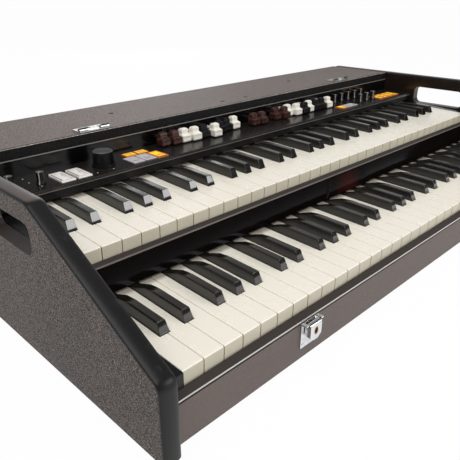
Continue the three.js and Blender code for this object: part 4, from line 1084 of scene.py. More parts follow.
@dataclass
class CoverHardware:
    """Hinge halves that are left on the cover, and screws in its sunk holes."""

    screw_radius: float = 3.6 * MM
    screw_height: float = 1.1 * MM
    hole_floor: float = 2.0 * MM
    plate_screw_radius: float = 1.9 * MM
    plate_screw_height: float = 0.5 * MM
    plate_screw_spread: float = 14.0 * MM
    plate_screw_inset: float = 5.5 * MM

    def build(self) -> None:
        """Makes both hinge halves, their screws and the screws of the cover."""
        for side in ("left", "right"):
            self._hinge(f"{side}_hinge_half")
        self._cover_screws()
        self._plate_screws()

    @staticmethod
    def _hinge(node: str) -> None:
        """Plates one hinge half; its rolled knuckles are bright in front, and their tops are painted dark as a
        painted reflection.
        """
        low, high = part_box(node)

        def rule(middle: Vector, normal: Vector) -> int:
            if middle.z < low.z + 2.2 * MM:
                return 0
            # painted reflection: the knuckles' tops are painted dark
            return 2 if normal.z > 0.55 else 1

        EasedPart(node, "chrome", (PLATE_BRIGHT, CHROME, DARK_STEEL_AND_PAINTED_REFLECTION), rule, 0.25 * MM, angle=40.0).build()

    def _screw(self, name: str, radius: float, height: float) -> bpy.types.Object:
        """Makes a pan-headed screw with a cross recess, standing on the origin."""
        screw = Bench.drum(name, (0, 0, height / 2), radius, height, 20)
        with Bench.editing(screw):
            Bench.pick(screw, Part.FACE, lambda middle, normal: normal.z > 0.9)
            bpy.ops.mesh.inset(thickness=radius * 0.3, depth=height * 0.12)
            bpy.ops.mesh.inset(thickness=radius * 0.32, depth=0.0)
            bpy.ops.mesh.inset(thickness=radius * 0.06, depth=-height * 0.45)
        Bench.ease(screw, height * 0.12)
        return screw

    def _cover_screws(self) -> None:
        """Sinks a dark screw in each of the cover's four holes."""
        low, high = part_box("top_cover")
        screw = self._screw("cover_screw", self.screw_radius * 0.6, self.screw_height)
        Bench.dress(screw, (SOCKET_BLACK,))
        places = [
            (side * spread, low.y + setback)
            for spread, setback in ((205.2 * MM, 76.2 * MM), (27.3 * MM, 24.9 * MM))
            for side in (-1, 1)
        ]
        for number, (x, y) in enumerate(places, 1):
            twin = Bench.copied(screw, f"cover_screw_{number}", (x, y, high.z - self.hole_floor))
            Bench.seat(twin, CASE, "chrome")
        Bench.drop(screw)

    def _plate_screws(self) -> None:
        """Screws the hinge plates down."""
        screw = self._screw("plate_screw", self.plate_screw_radius, self.plate_screw_height)
        Bench.dress(screw, (PLATE_BRIGHT,))
        for side in ("left", "right"):
            low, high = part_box(f"{side}_hinge_half")
            middle = (low.x + high.x) / 2
            for number, share in enumerate((-1, 0, 1), 1):
                x = middle + share * self.plate_screw_spread
                place = (x, high.y - self.plate_screw_inset, low.z + 1.4 * MM)
                twin = Bench.copied(screw, f"{side}_hinge_screw_{number}", place)
                Bench.seat(twin, CASE, "chrome")
        Bench.drop(screw)


@dataclass
class Latch:
    """One drawbolt latch: its channel lever with a brass eyelet, its pin's heads and rivets on its plate."""

    side: str
    pin_height: float = 15.9 * MM
    pin_reach: float = 3.8 * MM
    pin_head: float = 2.7 * MM
    eye_drop: float = 5.5 * MM
    eye_across: float = 2.95 * MM
    eye_high: float = 4.15 * MM
    rim: float = 0.5 * MM
    rivet_radius: float = 1.6 * MM
    rivet_spread: float = 10.4 * MM
    rivet_level: float = 25.2 * MM

    def build(self) -> None:
        """Makes the lever and its fittings."""
        node = f"{self.side}_latch_lever"
        EasedPart(
            node, "chrome", (CHROME, DARK_STEEL_AND_PAINTED_REFLECTION), lambda _, normal: int(normal.y > 0.35), 0.25 * MM, angle=40.0
        ).build()
        low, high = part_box(node)
        middle = Vector(((low.x + high.x) / 2, low.y + self.pin_reach, low.z + self.pin_height))
        self._eyelet(middle, low.y)
        self._eye_back(middle, low.y)
        self._pin_heads(middle, (high.x - low.x) / 2)
        self._rivets(middle.x)

    def _eyelet(self, pin: Vector, face: float) -> None:
        """Presses a brass ring into the oval hole of the lever."""
        bpy.ops.object.select_all(action="DESELECT")
        bpy.ops.mesh.primitive_torus_add(
            major_segments=28, minor_segments=8, major_radius=1.0, minor_radius=0.2,
            location=(0, 0, 0), rotation=(math.pi / 2, 0, 0),
        )
        ring = Bench.named(f"{self.side}_latch_eyelet")
        with Bench.editing(ring):
            bpy.ops.mesh.select_all(action="SELECT")
            Bench.resize((self.eye_across, self.rim / 0.2, self.eye_high), (0, 0, 0))
            bpy.ops.transform.translate(value=(pin.x, face + 0.3 * MM, pin.z - self.eye_drop))
        Bench.only(ring)
        bpy.ops.object.shade_smooth_by_angle(angle=math.radians(60))
        Bench.dress(ring, (BRASS,))
        Bench.seat(ring, f"{self.side}_latch_lever", "chrome")

    def _eye_back(self, pin: Vector, face: float) -> None:
        """Closes the eye with a dark sunk disc."""
        disc = Bench.drum(f"{self.side}_latch_eye_back", (0, 0, 0), 1.0, 1.0, 28, (math.pi / 2, 0, 0))
        with Bench.editing(disc):
            Bench.pick(disc, Part.FACE, lambda place, normal: normal.y < -0.9)
            bpy.ops.mesh.inset(thickness=0.3, depth=-0.25)
            bpy.ops.mesh.select_all(action="SELECT")
            Bench.resize((self.eye_across, 0.4 * MM, self.eye_high), (0, 0, 0))
            bpy.ops.transform.translate(value=(pin.x, face + 0.75 * MM, pin.z - self.eye_drop))
        Bench.only(disc)
        bpy.ops.object.shade_smooth_by_angle(angle=math.radians(40))
        Bench.dress(disc, (EYE_BROWN,))
        Bench.seat(disc, f"{self.side}_latch_lever", "chrome")

    def _pin_heads(self, pin: Vector, half: float) -> None:
        """Closes the pin with a small riveted head on either side of the lever."""
        head = Bench.drum("pin_head", (0, 0, 0), self.pin_head, 0.8 * MM, 20, (0, math.pi / 2, 0))
        Bench.ease(head, 0.25 * MM)
        Bench.dress(head, (PLATE_BRIGHT, DARK_STEEL_AND_PAINTED_REFLECTION), lambda _, normal: int(abs(normal.x) < 0.9))
        for number, sign in enumerate((-1, 1), 1):
            place = (pin.x + sign * (half + 0.45 * MM), pin.y, pin.z)
            Bench.seat(Bench.copied(head, f"{self.side}_latch_pin_head_{number}", place), CASE, "chrome")
        Bench.drop(head)

    def _rivets(self, middle: float) -> None:
        """Rivets the plate at its foot, left and right of the lever's tip."""
        slip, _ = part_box("lower_key_slip")
        face = slip.y - 1.5 * MM
        rivet = Bench.drum("rivet", (0, 0, 0), self.rivet_radius, 0.8 * MM, 20, (math.pi / 2, 0, 0))
        with Bench.editing(rivet):
            Bench.pick(rivet, Part.FACE, lambda place, normal: normal.y < -0.9)
            bpy.ops.mesh.inset(thickness=self.rivet_radius * 0.4, depth=0.3 * MM)
        Bench.ease(rivet, 0.2 * MM)
        Bench.dress(rivet, (CHROME,))
        for number, sign in enumerate((-1, 1), 1):
            place = (middle + sign * self.rivet_spread, face - 0.2 * MM, self.rivet_level)
            twin = Bench.copied(rivet, f"{self.side}_latch_rivet_{number}", place)
            Bench.seat(twin, CASE, "chrome")
        Bench.drop(rivet)


@dataclass
class Manual:
    """One manual: naturals and sharps with rounded edges."""

    name: str
    over: str

    def build(self) -> None:
        """Dresses the manual's three sets of keys; their tails go under the part over them."""
        low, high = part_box(f"{self.name}_naturals_cegb")
        cover_low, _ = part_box(self.over)
        # the tails take painted shadow from where the part over them begins
        plastic = replace(
            NATURAL_KEYS, name=f"{self.name}_{NATURAL_KEYS.name}", level=high.z, tail=cover_low.y, nose=low.y
        )
        for part in ("naturals_cegb", "naturals_dfa"):
            EasedPart(f"{self.name}_{part}", "natural_keys", (plastic,), width=0.25 * MM, segments=2).build()
        EasedPart(f"{self.name}_sharps", "sharp_keys", (SHARP_KEYS,), width=0.4 * MM, segments=3).build()


@dataclass
class KeySlips:
    """Black slips and end blocks round the manuals; the slips' front edges are painted pale."""

    edge: float = 2.2 * MM
    block_start: float = 424.0 * MM

    def build(self) -> None:
        """Dresses the upper key bed and the lower slip."""
        self._slip("upper_key_bed", 106.6 * MM, BED_EDGE)
        self._slip("lower_key_slip", 52.8 * MM, SLIP_EDGE)

    def _slip(self, node: str, edge_level: float, edge_finish: Finish) -> None:
        """Dresses one slip.

        Args:
            node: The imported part.
            edge_level: Height of the middle of its pale front edge.
            edge_finish: Finish of that edge.
        """
        low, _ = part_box(node)

        def rule(middle: Vector, normal: Vector) -> int:
            if middle.y < low.y + 0.8 * MM and abs(middle.z - edge_level) < self.edge / 2 and normal.z < 0.9:
                return 1
            if abs(middle.x) > self.block_start and middle.y > low.y + 6 * MM:
                return 2
            return 0 if middle.y < low.y + 8 * MM else 3

        finishes = (SLIP_PAINT, edge_finish, END_BLOCK_GLOSS, SKIRT_PAINT)
        EasedPart(node, "black_metal", finishes, rule, 0.3 * MM).build()


@dataclass
class Fascia:
    """Polished panel between the manuals with a window that glows dark red."""

    window_low: float = -46.0 * MM
    window_high: float = 64.0 * MM
    margin: float = 2.0 * MM

    def build(self) -> None:
        """Dresses the panel and its window."""
        low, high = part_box("middle_fascia")

        def rule(middle: Vector, normal: Vector) -> int:
            in_window = (
                self.window_low < middle.x < self.window_high
                and low.z + self.margin < middle.z < high.z - self.margin
            )
            return 1 if in_window and normal.y < -0.5 else 0

        EasedPart("middle_fascia", "gloss_black", (PANEL_GLOSS, BADGE_GLOW), rule, 0.3 * MM).build()


@dataclass
class ControlDeck:
    """The folded panel that carries the controls, with highlight lines painted along its lip and printed dots."""

    lip_highlight_lines: tuple[tuple[float, float], ...] = ((0.5 * MM, 1.1 * MM), (2.0 * MM, 2.7 * MM), (3.5 * MM, 4.6 * MM))
    dot_radius: float = 0.9 * MM
    dots: tuple[tuple[float, float], ...] = (
        (-389.4 * MM, 96.4 * MM),
        (-390.1 * MM, 78.9 * MM),
        (-384.6 * MM, 58.4 * MM),
        (-314.5 * MM, 54.5 * MM),
        (-291.5 * MM, 54.5 * MM),
    )

    def build(self) -> None:
        """Dresses the panel, lays the bead along the upstand and prints the dots."""
        low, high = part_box("control_panel")
        deck = high.z - 22.2 * MM
        lip = deck - 4.6 * MM
        upstand = low.y + 62.0 * MM

        def rule(middle: Vector, normal: Vector) -> int:
            if middle.z > deck + 0.6 * MM and middle.y > upstand - 1 * MM:
                return 1
            # painted highlights: thin lines along the lip, the lowest brightest
            if middle.y < low.y + 1.4 * MM and normal.z < 0.95:
                for number, (top, foot) in enumerate(self.lip_highlight_lines, 1):
                    if top < deck - middle.z < foot:
                        return 2 if number == len(self.lip_highlight_lines) else 4
            return 3 if middle.z < lip - 0.5 * MM else 0

        finishes = (DECK_PAINT, UPSTAND_GLOSS, EDGE_HIGHLIGHT, SKIRT_PAINT, LIP_HIGHLIGHT)
        panel = EasedPart("control_panel", "black_metal", finishes, rule, 0.25 * MM)
        shaped = panel.shaped()
        with Bench.editing(shaped):
            for level in (deck - depth for line in self.lip_highlight_lines for depth in line):
                bpy.ops.mesh.select_all(action="SELECT")
                bpy.ops.mesh.bisect(plane_co=(0, 0, level), plane_no=(0, 0, 1))
        panel.finished(shaped)
        self._bead(low, high, upstand)
        self._print(deck)

    def _bead(self, low: Vector, high: Vector, upstand: float) -> None:
        """Lays the pale bead along the top of the upstand."""
        bead = Bench.block(
            "upstand_bead",
            (low.x + 0.2 * MM, upstand - 0.7 * MM, high.z - 1.5 * MM),
            (high.x - 0.2 * MM, upstand + 0.1 * MM, high.z - 0.1 * MM),
        )
        Bench.ease(bead, 0.3 * MM, 3)
        Bench.dress(bead, (UPSTAND_BEAD,))
        Bench.seat(bead, CASE, "chrome")

    def _print(self, deck: float) -> None:
        """Prints small dots beside the pointer knobs and the large knob."""
        dot = Bench.drum("printed_dot", (0, 0, 0.03 * MM), self.dot_radius, 0.12 * MM, 16)
        Bench.ease(dot, 0.03 * MM, 1)
        Bench.dress(dot, (WHITE_INK,))
        for number, (x, y) in enumerate(self.dots, 1):
            Bench.seat(Bench.copied(dot, f"printed_dot_{number}", (x, y, deck)), CASE, "button_white")
        Bench.drop(dot)


class BarColour(Enum):
    """Plastics of the drawbar caps, with the finish of the stem behind each."""

    BROWN = (BROWN_CAPS, STEM_METAL, "drawbar_brown")
    WHITE = (WHITE_CAPS, WHITE_CAPS, "drawbar_white")
    BLACK = (BLACK_CAPS, STEM_METAL, "drawbar_black")


@dataclass
class Drawbars:
    """Twenty drawbars: stepped caps with a sunk face on flat stems."""

    width: float = 15.6 * MM
    depth: float = 13.4 * MM
    height: float = 19.5 * MM
    step: float = 9.6 * MM
    slope: float = 2.4 * MM
    crown_width: float = 11.8 * MM
    setback: float = 5.0 * MM
    crown_round: float = 3.4 * MM
    stem_half: float = 2.0 * MM
    stem_low: float = 9.5 * MM
    stem_high: float = 12.5 * MM
    whites: tuple[int, ...] = (3, 4, 6, 9)

    def build(self) -> None:
        """Models one drawbar and copies it to every place."""
        pattern = self._pattern()
        for node in sorted(name for name in frame["nodes"] if name.startswith("drawbar_")):
            self._place(pattern, node)
        Bench.drop(pattern)

    def _place(self, pattern: bpy.types.Object, node: str) -> None:
        """Copies the drawbar to a packed one and gives it that one's colours."""
        low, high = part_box(node)
        kind = self._kind(node)
        cap, stem, slot = kind.value
        twin = Bench.copied(pattern, node + "_cap", ((low.x + high.x) / 2, low.y, low.z))
        Bench.dress(
            twin, (cap, stem), lambda middle, _: 1 if middle.y > low.y + self.depth + 0.1 * MM else 0
        )
        Bench.seat(twin, node, slot, [node])

    def _kind(self, node: str) -> BarColour:
        """Colour of a drawbar by its bank and number."""
        _, bank, number = node.split("_")
        if bank == "pedal" or int(number) < 3:
            return BarColour.BROWN
        return BarColour.WHITE if int(number) in self.whites else BarColour.BLACK

    def _pattern(self) -> bpy.types.Object:
        """Models a drawbar with its front foot edge on the origin."""
        half = self.width / 2
        cap = Bench.block("drawbar_pattern", (-half, 0, 0), (half, self.depth, self.step))
        with Bench.editing(cap):
            Bench.pick(cap, Part.FACE, lambda middle, normal: normal.z > 0.9)
            Bench.extrude((0, 0, self.slope))
            Bench.resize(
                (self.crown_width / self.width, (self.depth - self.setback) / self.depth, 1),
                (0, self.depth, self.step + self.slope),
            )
            Bench.extrude((0, 0, self.height - self.step - self.slope))
            Bench.pick(
                cap,
                Part.EDGE,
                lambda middle, along: abs(along.y) > 0.9 and middle.z > self.height - 0.1 * MM,
            )
            bpy.ops.mesh.bevel(offset=self.crown_round, segments=5, affect="EDGES")
            Bench.pick(
                cap, Part.EDGE, lambda middle, along: abs(along.y) > 0.9 and middle.z < 0.1 * MM
            )
            bpy.ops.mesh.bevel(offset=2.4 * MM, segments=4, affect="EDGES")
            for limits in ((0.0, self.step), (self.step + self.slope, self.height)):
                Bench.pick(
                    cap,
                    Part.FACE,
                    lambda middle, normal, limits=limits: normal.y < -0.99 and limits[0] < middle.z < limits[1],
                )
                bpy.ops.mesh.inset(thickness=1.3 * MM, depth=0.0)
                bpy.ops.mesh.inset(thickness=0.35 * MM, depth=-0.45 * MM)
        Bench.ease(cap, 0.4 * MM, 3)
        low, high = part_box("drawbar_lower_1")
        stem = Bench.block(
            "drawbar_stem_pattern",
            (-self.stem_half, self.depth - 0.3 * MM, self.stem_low),
            (self.stem_half, high.y - low.y, self.stem_high),
        )
        Bench.ease(stem, 0.4 * MM)
        return Bench.joined([cap, stem])


@dataclass
class VolumeKnob:
    """The large knob: fine ribs over a plain base ring, and a dished top."""

    radius: float = 14.5 * MM
    ring: float = 3.0 * MM
    waist: float = 13.2 * MM
    top: float = 12.7 * MM
    height: float = 19.0 * MM
    ribs: int = 48
    shaft_drop: float = 5.6 * MM
    shaft_radius: float = 3.0 * MM

    def build(self) -> None:
        """Turns the knob, cuts its ribs and sinks its top."""
        low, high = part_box("volume_knob")
        middle = ((low.x + high.x) / 2, (low.y + high.y) / 2)
        foot = low.z + self.shaft_drop
        top = foot + self.height
        knob = Bench.drum(
            "volume_knob_ribbed", (*middle, foot + self.ring / 2), self.radius, self.ring, self.ribs * 2
        )
        with Bench.editing(knob):
            Bench.pick(knob, Part.FACE, lambda place, normal: normal.z > 0.9)
            bpy.ops.mesh.inset(thickness=self.radius - self.waist, depth=0.0)
            Bench.extrude((0, 0, self.height - self.ring - 1.2 * MM))
            share = self.top / self.waist
            Bench.resize((share, share, 1), (*middle, top))
            Bench.extrude((0, 0, 1.2 * MM))
            share = (self.top - 1.0 * MM) / self.top
            Bench.resize((share, share, 1), (*middle, top))
            bpy.ops.mesh.inset(thickness=0.9 * MM, depth=0.0)
            bpy.ops.mesh.inset(thickness=1.6 * MM, depth=-0.7 * MM)
            Bench.pick(knob, Part.FACE, lambda place, normal: self._is_rib(place, normal, middle, foot, top))
            bpy.ops.mesh.inset(thickness=0.12 * MM, depth=-0.4 * MM, use_individual=True)
        Bench.only(knob)
        bpy.ops.object.shade_smooth_by_angle(angle=math.radians(28))
        shaft = Bench.drum(
            "volume_shaft", (*middle, (low.z + foot) / 2 + 0.5 * MM), self.shaft_radius, foot - low.z + 1 * MM, 24
        )
        Bench.ease(shaft, 0.3 * MM)
        knob = Bench.joined([knob, shaft])
        # painted sheen: the top is painted lighter than the body
        Bench.dress(knob, (KNOB_BLACK, KNOB_TOP_SHEEN), lambda place, normal: 1 if place.z > top - 1.0 * MM else 0)
        Bench.seat(knob, "volume_knob", "knob_black", ["volume_knob"])

    def _is_rib(
        self, place: Vector, normal: Vector, middle: Sequence[float], foot: float, top: float
    ) -> bool:
        """Picks every other tall face round the body."""
        if abs(normal.z) > 0.3 or not foot + self.ring < place.z < top - 1.2 * MM:
            return False
        angle = math.atan2(place.y - middle[1], place.x - middle[0]) / (2 * math.pi)
        return math.floor(angle * self.ribs * 2 + 0.25) % 2 == 0


@dataclass
class PointerKnobs:
    """Slim knobs with a flared foot and a white line over the top and down the front."""

    radius: float = 5.5 * MM
    flange: float = 1.8 * MM
    waist: float = 4.4 * MM
    top: float = 4.2 * MM
    height: float = 14.7 * MM
    line: float = 0.5 * MM
    line_turn: float = math.radians(-42.0)
    shaft_drop: float = 5.6 * MM
    shaft_radius: float = 3.0 * MM
    count: int = 10

    def build(self) -> None:
        """Models one knob and copies it to every place."""
        pattern = self._pattern()
        for number in range(1, self.count + 1):
            node = f"pointer_knob_{number}"
            low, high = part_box(node)
            place = ((low.x + high.x) / 2, high.y - self.radius, low.z + self.shaft_drop)
            knob = Bench.copied(pattern, node + "_turned", place)
            Bench.seat(knob, node, "knob_black", [node])
        Bench.drop(pattern)

    def _pattern(self) -> bpy.types.Object:
        """Models a knob that stands on the origin."""
        knob = Bench.drum("pointer_pattern", (0, 0, self.flange / 2), self.radius, self.flange, 36)
        with Bench.editing(knob):
            Bench.pick(knob, Part.FACE, lambda place, normal: normal.z > 0.9)
            bpy.ops.mesh.inset(thickness=0.5 * MM, depth=0.3 * MM)
            for radius, rise in (
                (self.waist + 0.4 * MM, self.flange * 0.7),
                (self.waist, self.flange * 0.4),
                (self.top, self.height - self.flange * 2.1 - 2.4 * MM),
                (self.top + 0.45 * MM, 0.5 * MM),
                (self.top + 0.45 * MM, 1.6 * MM),
            ):
                self._rise(knob, radius, rise)
        Bench.ease(knob, 0.25 * MM, 2, 20.0)
        # painted sheen: the flat top is painted lighter than the body
        Bench.dress(
            knob, (KNOB_BLACK, POINTER_TOP_SHEEN), lambda place, normal: 1 if normal.z > 0.9 and place.z > 0.01 else 0
        )
        line = self._line()
        Bench.dress(line, (POINTER_INK,))
        shaft = Bench.drum(
            "pointer_shaft", (0, 0, 0.5 * MM - self.shaft_drop / 2), self.shaft_radius, self.shaft_drop + 1 * MM, 20
        )
        Bench.ease(shaft, 0.3 * MM)
        Bench.dress(shaft, (KNOB_BLACK,))
        return Bench.joined([knob, line, shaft])

    def _rise(self, knob: bpy.types.Object, radius: float, rise: float) -> None:
        """Draws the top face up and brings it to a radius."""
        mesh = bmesh.from_edit_mesh(knob.data)
        now = max(math.hypot(vert.co.x, vert.co.y) for vert in mesh.verts if vert.select)
        Bench.extrude((0, 0, rise))
        Bench.resize((radius / now, radius / now, 1), (0, 0, 0))

    def _line(self) -> bpy.types.Object:
        """Folds the white line from the middle of the top down to the foot."""
        top = self.height + 0.32 * MM
        reach = self.top + 0.5 * MM
        bpy.ops.object.select_all(action="DESELECT")
        bpy.ops.mesh.primitive_plane_add(size=1.0, location=(0, -reach / 2, top), scale=(1, 1, 1))
        line = bpy.context.object
        line.scale = (2 * self.line, reach, 1)
        line = Bench.named("pointer_line")
        path = (
            (0, -0.12 * MM, -2.2 * MM),
            (0, 0.42 * MM, -0.5 * MM),
            (0, -0.3 * MM, -8.0 * MM),
            (0, -0.7 * MM, -1.4 * MM),
            (0, -0.95 * MM, -0.75 * MM),
            (0, -0.15 * MM, -1.9 * MM),
        )
        with Bench.editing(line):
            Bench.pick(line, Part.EDGE, lambda place, along: abs(along.x) > 0.9 and place.y < -reach * 0.9)
            for shift in path:
                Bench.extrude(shift)
            bpy.ops.mesh.select_all(action="SELECT")
            bpy.ops.mesh.normals_make_consistent(inside=False)
            bpy.ops.transform.rotate(value=-self.line_turn, orient_axis="Z", center_override=(0, 0, 0))
        Bench.only(line)
        wall = line.modifiers.new("wall", "SOLIDIFY")
        wall.thickness = 0.22 * MM
        wall.offset = 0.0
        bpy.ops.object.modifier_apply(modifier=wall.name)
        return line


@dataclass
class RockerTabs:
    """Two white rocker tabs with a fine line along the front and left of their tops, painted dark as shade."""

    border: float = 2.0 * MM
    line: float = 1.1 * MM
    sink: float = 0.12 * MM

    def build(self) -> None:
        """Dresses both tabs."""
        for number in (1, 2):
            self._tab(f"rocker_tab_{number}")

    def _tab(self, node: str) -> None:
        """Rounds one tab and sinks a line into its top, painted dark as shade along the front and left."""
        low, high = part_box(node)
        top = high.z
        reach = 2 * self.border
        tab = EasedPart(node, "button_white", (TAB_WHITE, DARK_INK_AND_SHADE), width=0.4 * MM, segments=3, angle=24.0)
        piece = tab.shaped()
        Bench.ease(piece, tab.width, tab.segments, tab.angle)
        with Bench.editing(piece):
            Bench.pick(piece, Part.FACE, lambda middle, normal: normal.z > 0.999 and middle.z > top - 0.05 * MM)
            bpy.ops.mesh.inset(thickness=self.border, depth=0.0)
            bpy.ops.mesh.inset(thickness=self.line, depth=-self.sink)
            bpy.ops.mesh.inset(thickness=0.1 * MM, depth=self.sink)

        def rule(middle: Vector, normal: Vector) -> int:
            sunk = top - 0.99 * self.sink < middle.z < top - 0.01 * self.sink and normal.z > 0.2
            # painted shade: the sunk line is painted dark only along the front and left
            return int(sunk and (middle.y < low.y + reach or middle.x < low.x + reach))

        Bench.dress(piece, tab.finishes, rule)
        Bench.seat(piece, node, tab.slot, [node])


@dataclass(frozen=True)
class CapRow:
    """A row of button caps in a bank: shift from the bank's corner, cap size and which caps are lit."""

    x: float
    y: float
    width: float
    length: float
    lit: tuple[bool, ...]
    bars: int


@dataclass
class ButtonBank:
    """A bank of button caps on a common carrier; some caps are lit."""

    name: str
    rows: tuple[CapRow, ...]
    margin: float = 1.4 * MM
    gap: float = 1.1 * MM
    carrier: float = 1.8 * MM
    dish: float = 0.12 * MM
    sink: float = 1.2 * MM

    def build(self) -> None:
        """Makes carrier and caps."""
        node = f"{self.name}_button_bank"
        low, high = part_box(node)
        corner = Vector((low.x + self.margin, low.y + self.margin, low.z))
        self._carrier(node, low, high)
        for row_number, row in enumerate(self.rows, 1):
            for number, lit in enumerate(row.lit, 1):
                x = corner.x + row.x + (number - 1) * (row.width + self.gap)
                y = corner.y + row.y
                name = f"{self.name}_button_{row_number}_{number}"
                top = high.z - self.sink
                cap = self._cap(name, (x, y, low.z + self.carrier), (x + row.width, y + row.length, top), lit)
                bars = self._bars(row, x, y, top, lit)
                Bench.seat(Bench.joined([cap, *bars]), node, "button_white")

    def _carrier(self, node: str, low: Vector, high: Vector) -> None:
        """Makes the strip that joins the caps below the deck."""
        plate = Bench.block(f"{self.name}_button_carrier", low, (high.x, high.y, low.z + self.carrier))
        Bench.ease(plate, 0.3 * MM)
        Bench.dress(plate, (BUTTON_WHITE,))
        Bench.seat(plate, node, "button_white", [node])

    def _cap(self, name: str, low: Sequence[float], high: Sequence[float], lit: bool) -> bpy.types.Object:
        """Makes one cap with a shallow dish and marks how far each point is from its rim.

        Args:
            name: The cap's name.
            low: Its lowest corner.
            high: Its highest corner.
            lit: Whether a lamp shines through it.

        Returns:
            The dressed cap.
        """
        cap = Bench.block(name, low, high)
        with Bench.editing(cap):
            for thickness, depth in ((1.2 * MM, 0.0), (1.6 * MM, -self.dish), (2.2 * MM, -self.dish)):
                Bench.pick(cap, Part.FACE, lambda place, normal: self._is_inner(place, normal, low, high))
                bpy.ops.mesh.inset(thickness=thickness, depth=depth)
        Bench.ease(cap, 0.6 * MM, 3)
        middle = [(a + b) / 2 for a, b in zip(low, high)]
        halves = [(b - a) / 2 for a, b in zip(low, high)]
        heart = cap.data.attributes.new("heart", "FLOAT", "POINT")
        for number, vertex in enumerate(cap.data.vertices):
            across = 1 - abs(vertex.co.x - middle[0]) / halves[0]
            along = 1 - abs(vertex.co.y - middle[1]) / halves[1]
            heart.data[number].value = max(0.0, min(1.0, 2.2 * min(across, along)))
        finishes = (BUTTON_LIT,) if lit else (BUTTON_WHITE, BUTTON_SIDE_SHADE)
        # painted shade: the sides of unlit caps are painted dark
        Bench.dress(cap, finishes, lambda _, normal: 0 if lit else int(abs(normal.z) < 0.3))
        return cap

    @staticmethod
    def _is_inner(place: Vector, normal: Vector, low: Sequence[float], high: Sequence[float]) -> bool:
        """Finds the innermost face of the top."""
        return (
            normal.z > 0.9
            and place.z > high[2] - 1 * MM
            and abs(place.x - (low[0] + high[0]) / 2) < 0.01 * MM
            and abs(place.y - (low[1] + high[1]) / 2) < 0.01 * MM
        )

    def _bars(self, row: CapRow, x: float, y: float, top: float, lit: bool) -> list[bpy.types.Object]:
        """Prints thin bars across a cap, where a plain function mark would be."""
        made = []
        for number in range(row.bars):
            place = y + row.length * (0.32 + 0.34 * number)
            floor = top - 2 * self.dish
            half = 0.9 * MM if lit else 0.5 * MM
            bar = Bench.block(
                f"{self.name}_bar",
                (x + row.width * 0.1, place - half, floor - 0.05 * MM),
                (x + row.width * 0.9, place + half, floor + 0.05 * MM),
            )
            Bench.ease(bar, 0.02 * MM, 1)
            Bench.dress(bar, (AMBER_INK if lit else DARK_INK_AND_SHADE,))
            made.append(bar)
        return made


@dataclass
class Interior:
    """Boards inside the case and what shows of them at the rear."""

    ring_radius: float = 8.2 * MM
    ring_height: float = 1.6 * MM

    def build(self) -> None:
        """Dresses both boards and fits the sockets' nuts and pins."""
        low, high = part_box("main_board")
        board_face = low.y + 2.6 * MM

        def main_rule(middle: Vector, normal: Vector) -> int:
            return 1 if middle.y > board_face else 0

        EasedPart("main_board", "circuit_board", (BOARD_CIRCUIT, SOCKET_BLACK), main_rule, 0.3 * MM).build()
        deck_low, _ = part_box("control_board")

        def control_rule(middle: Vector, normal: Vector) -> int:
            return 1 if middle.z > deck_low.z + 2.2 * MM else 0

        EasedPart("control_board", "circuit_board", (BOARD_CIRCUIT, SOCKET_BLACK), control_rule, 0.25 * MM).build()
        self._sockets(low, high)

    def _sockets(self, low: Vector, high: Vector) -> None:
        """Fits a nut round each sound socket, a ring round the pedal socket and pins in the mains inlet."""
        level = (low.z + high.z) / 2
        rear = high.y
        inlet = low.x + 27 * MM
        pedal = inlet + 27 * MM + 19 * MM
        first = pedal + 19 * MM + 13 * MM
        nut = self._ring("socket_nut", 6, 7.4 * MM, 3.6 * MM)
        Bench.dress(nut, (CHROME,))
        for number in range(3):
            place = (first + 26 * MM * number, rear, level)
            Bench.seat(Bench.copied(nut, f"sound_socket_nut_{number + 1}", place), CASE, "chrome")
        Bench.drop(nut)
        collar = self._ring("pedal_socket_collar", 32, 12.5 * MM, 7.4 * MM)
        Bench.dress(collar, (DARK_STEEL_AND_PAINTED_REFLECTION,))
        Bench.seat(Bench.copied(collar, "pedal_socket_ring", (pedal, rear, level)), CASE, "chrome")
        Bench.drop(collar)
        pin = Bench.block("mains_pin", (-1 * MM, -14 * MM, -2 * MM), (1 * MM, -3 * MM, 2 * MM))
        Bench.ease(pin, 0.4 * MM, 3)
        Bench.dress(pin, (CHROME,))
        for number, (x, z) in enumerate(((-7 * MM, -1.5 * MM), (7 * MM, -1.5 * MM), (0.0, 3 * MM)), 1):
            place = (inlet + x, rear, level + z)
            Bench.seat(Bench.copied(pin, f"mains_pin_{number}", place), CASE, "chrome")
        Bench.drop(pin)

    def _ring(self, name: str, sides: int, radius: float, bore: float) -> bpy.types.Object:
        """Makes a ring whose back lies on the origin and which faces the rear."""
        ring = Bench.drum(name, (0, self.ring_height / 2, 0), radius, self.ring_height, sides, (math.pi / 2, 0, 0))
        with Bench.editing(ring):
            for end in (-1, 1):
                Bench.pick(ring, Part.FACE, lambda _, normal: normal.y * end > 0.9)
                bpy.ops.mesh.inset(thickness=(radius - bore) * math.cos(math.pi / sides), depth=0.0)
            Bench.pick(
                ring, Part.FACE, lambda place, normal: abs(normal.y) > 0.9 and math.hypot(place.x, place.z) < bore / 2
            )
            bpy.ops.mesh.bridge_edge_loops()
        Bench.ease(ring, 0.25 * MM)
        return ring


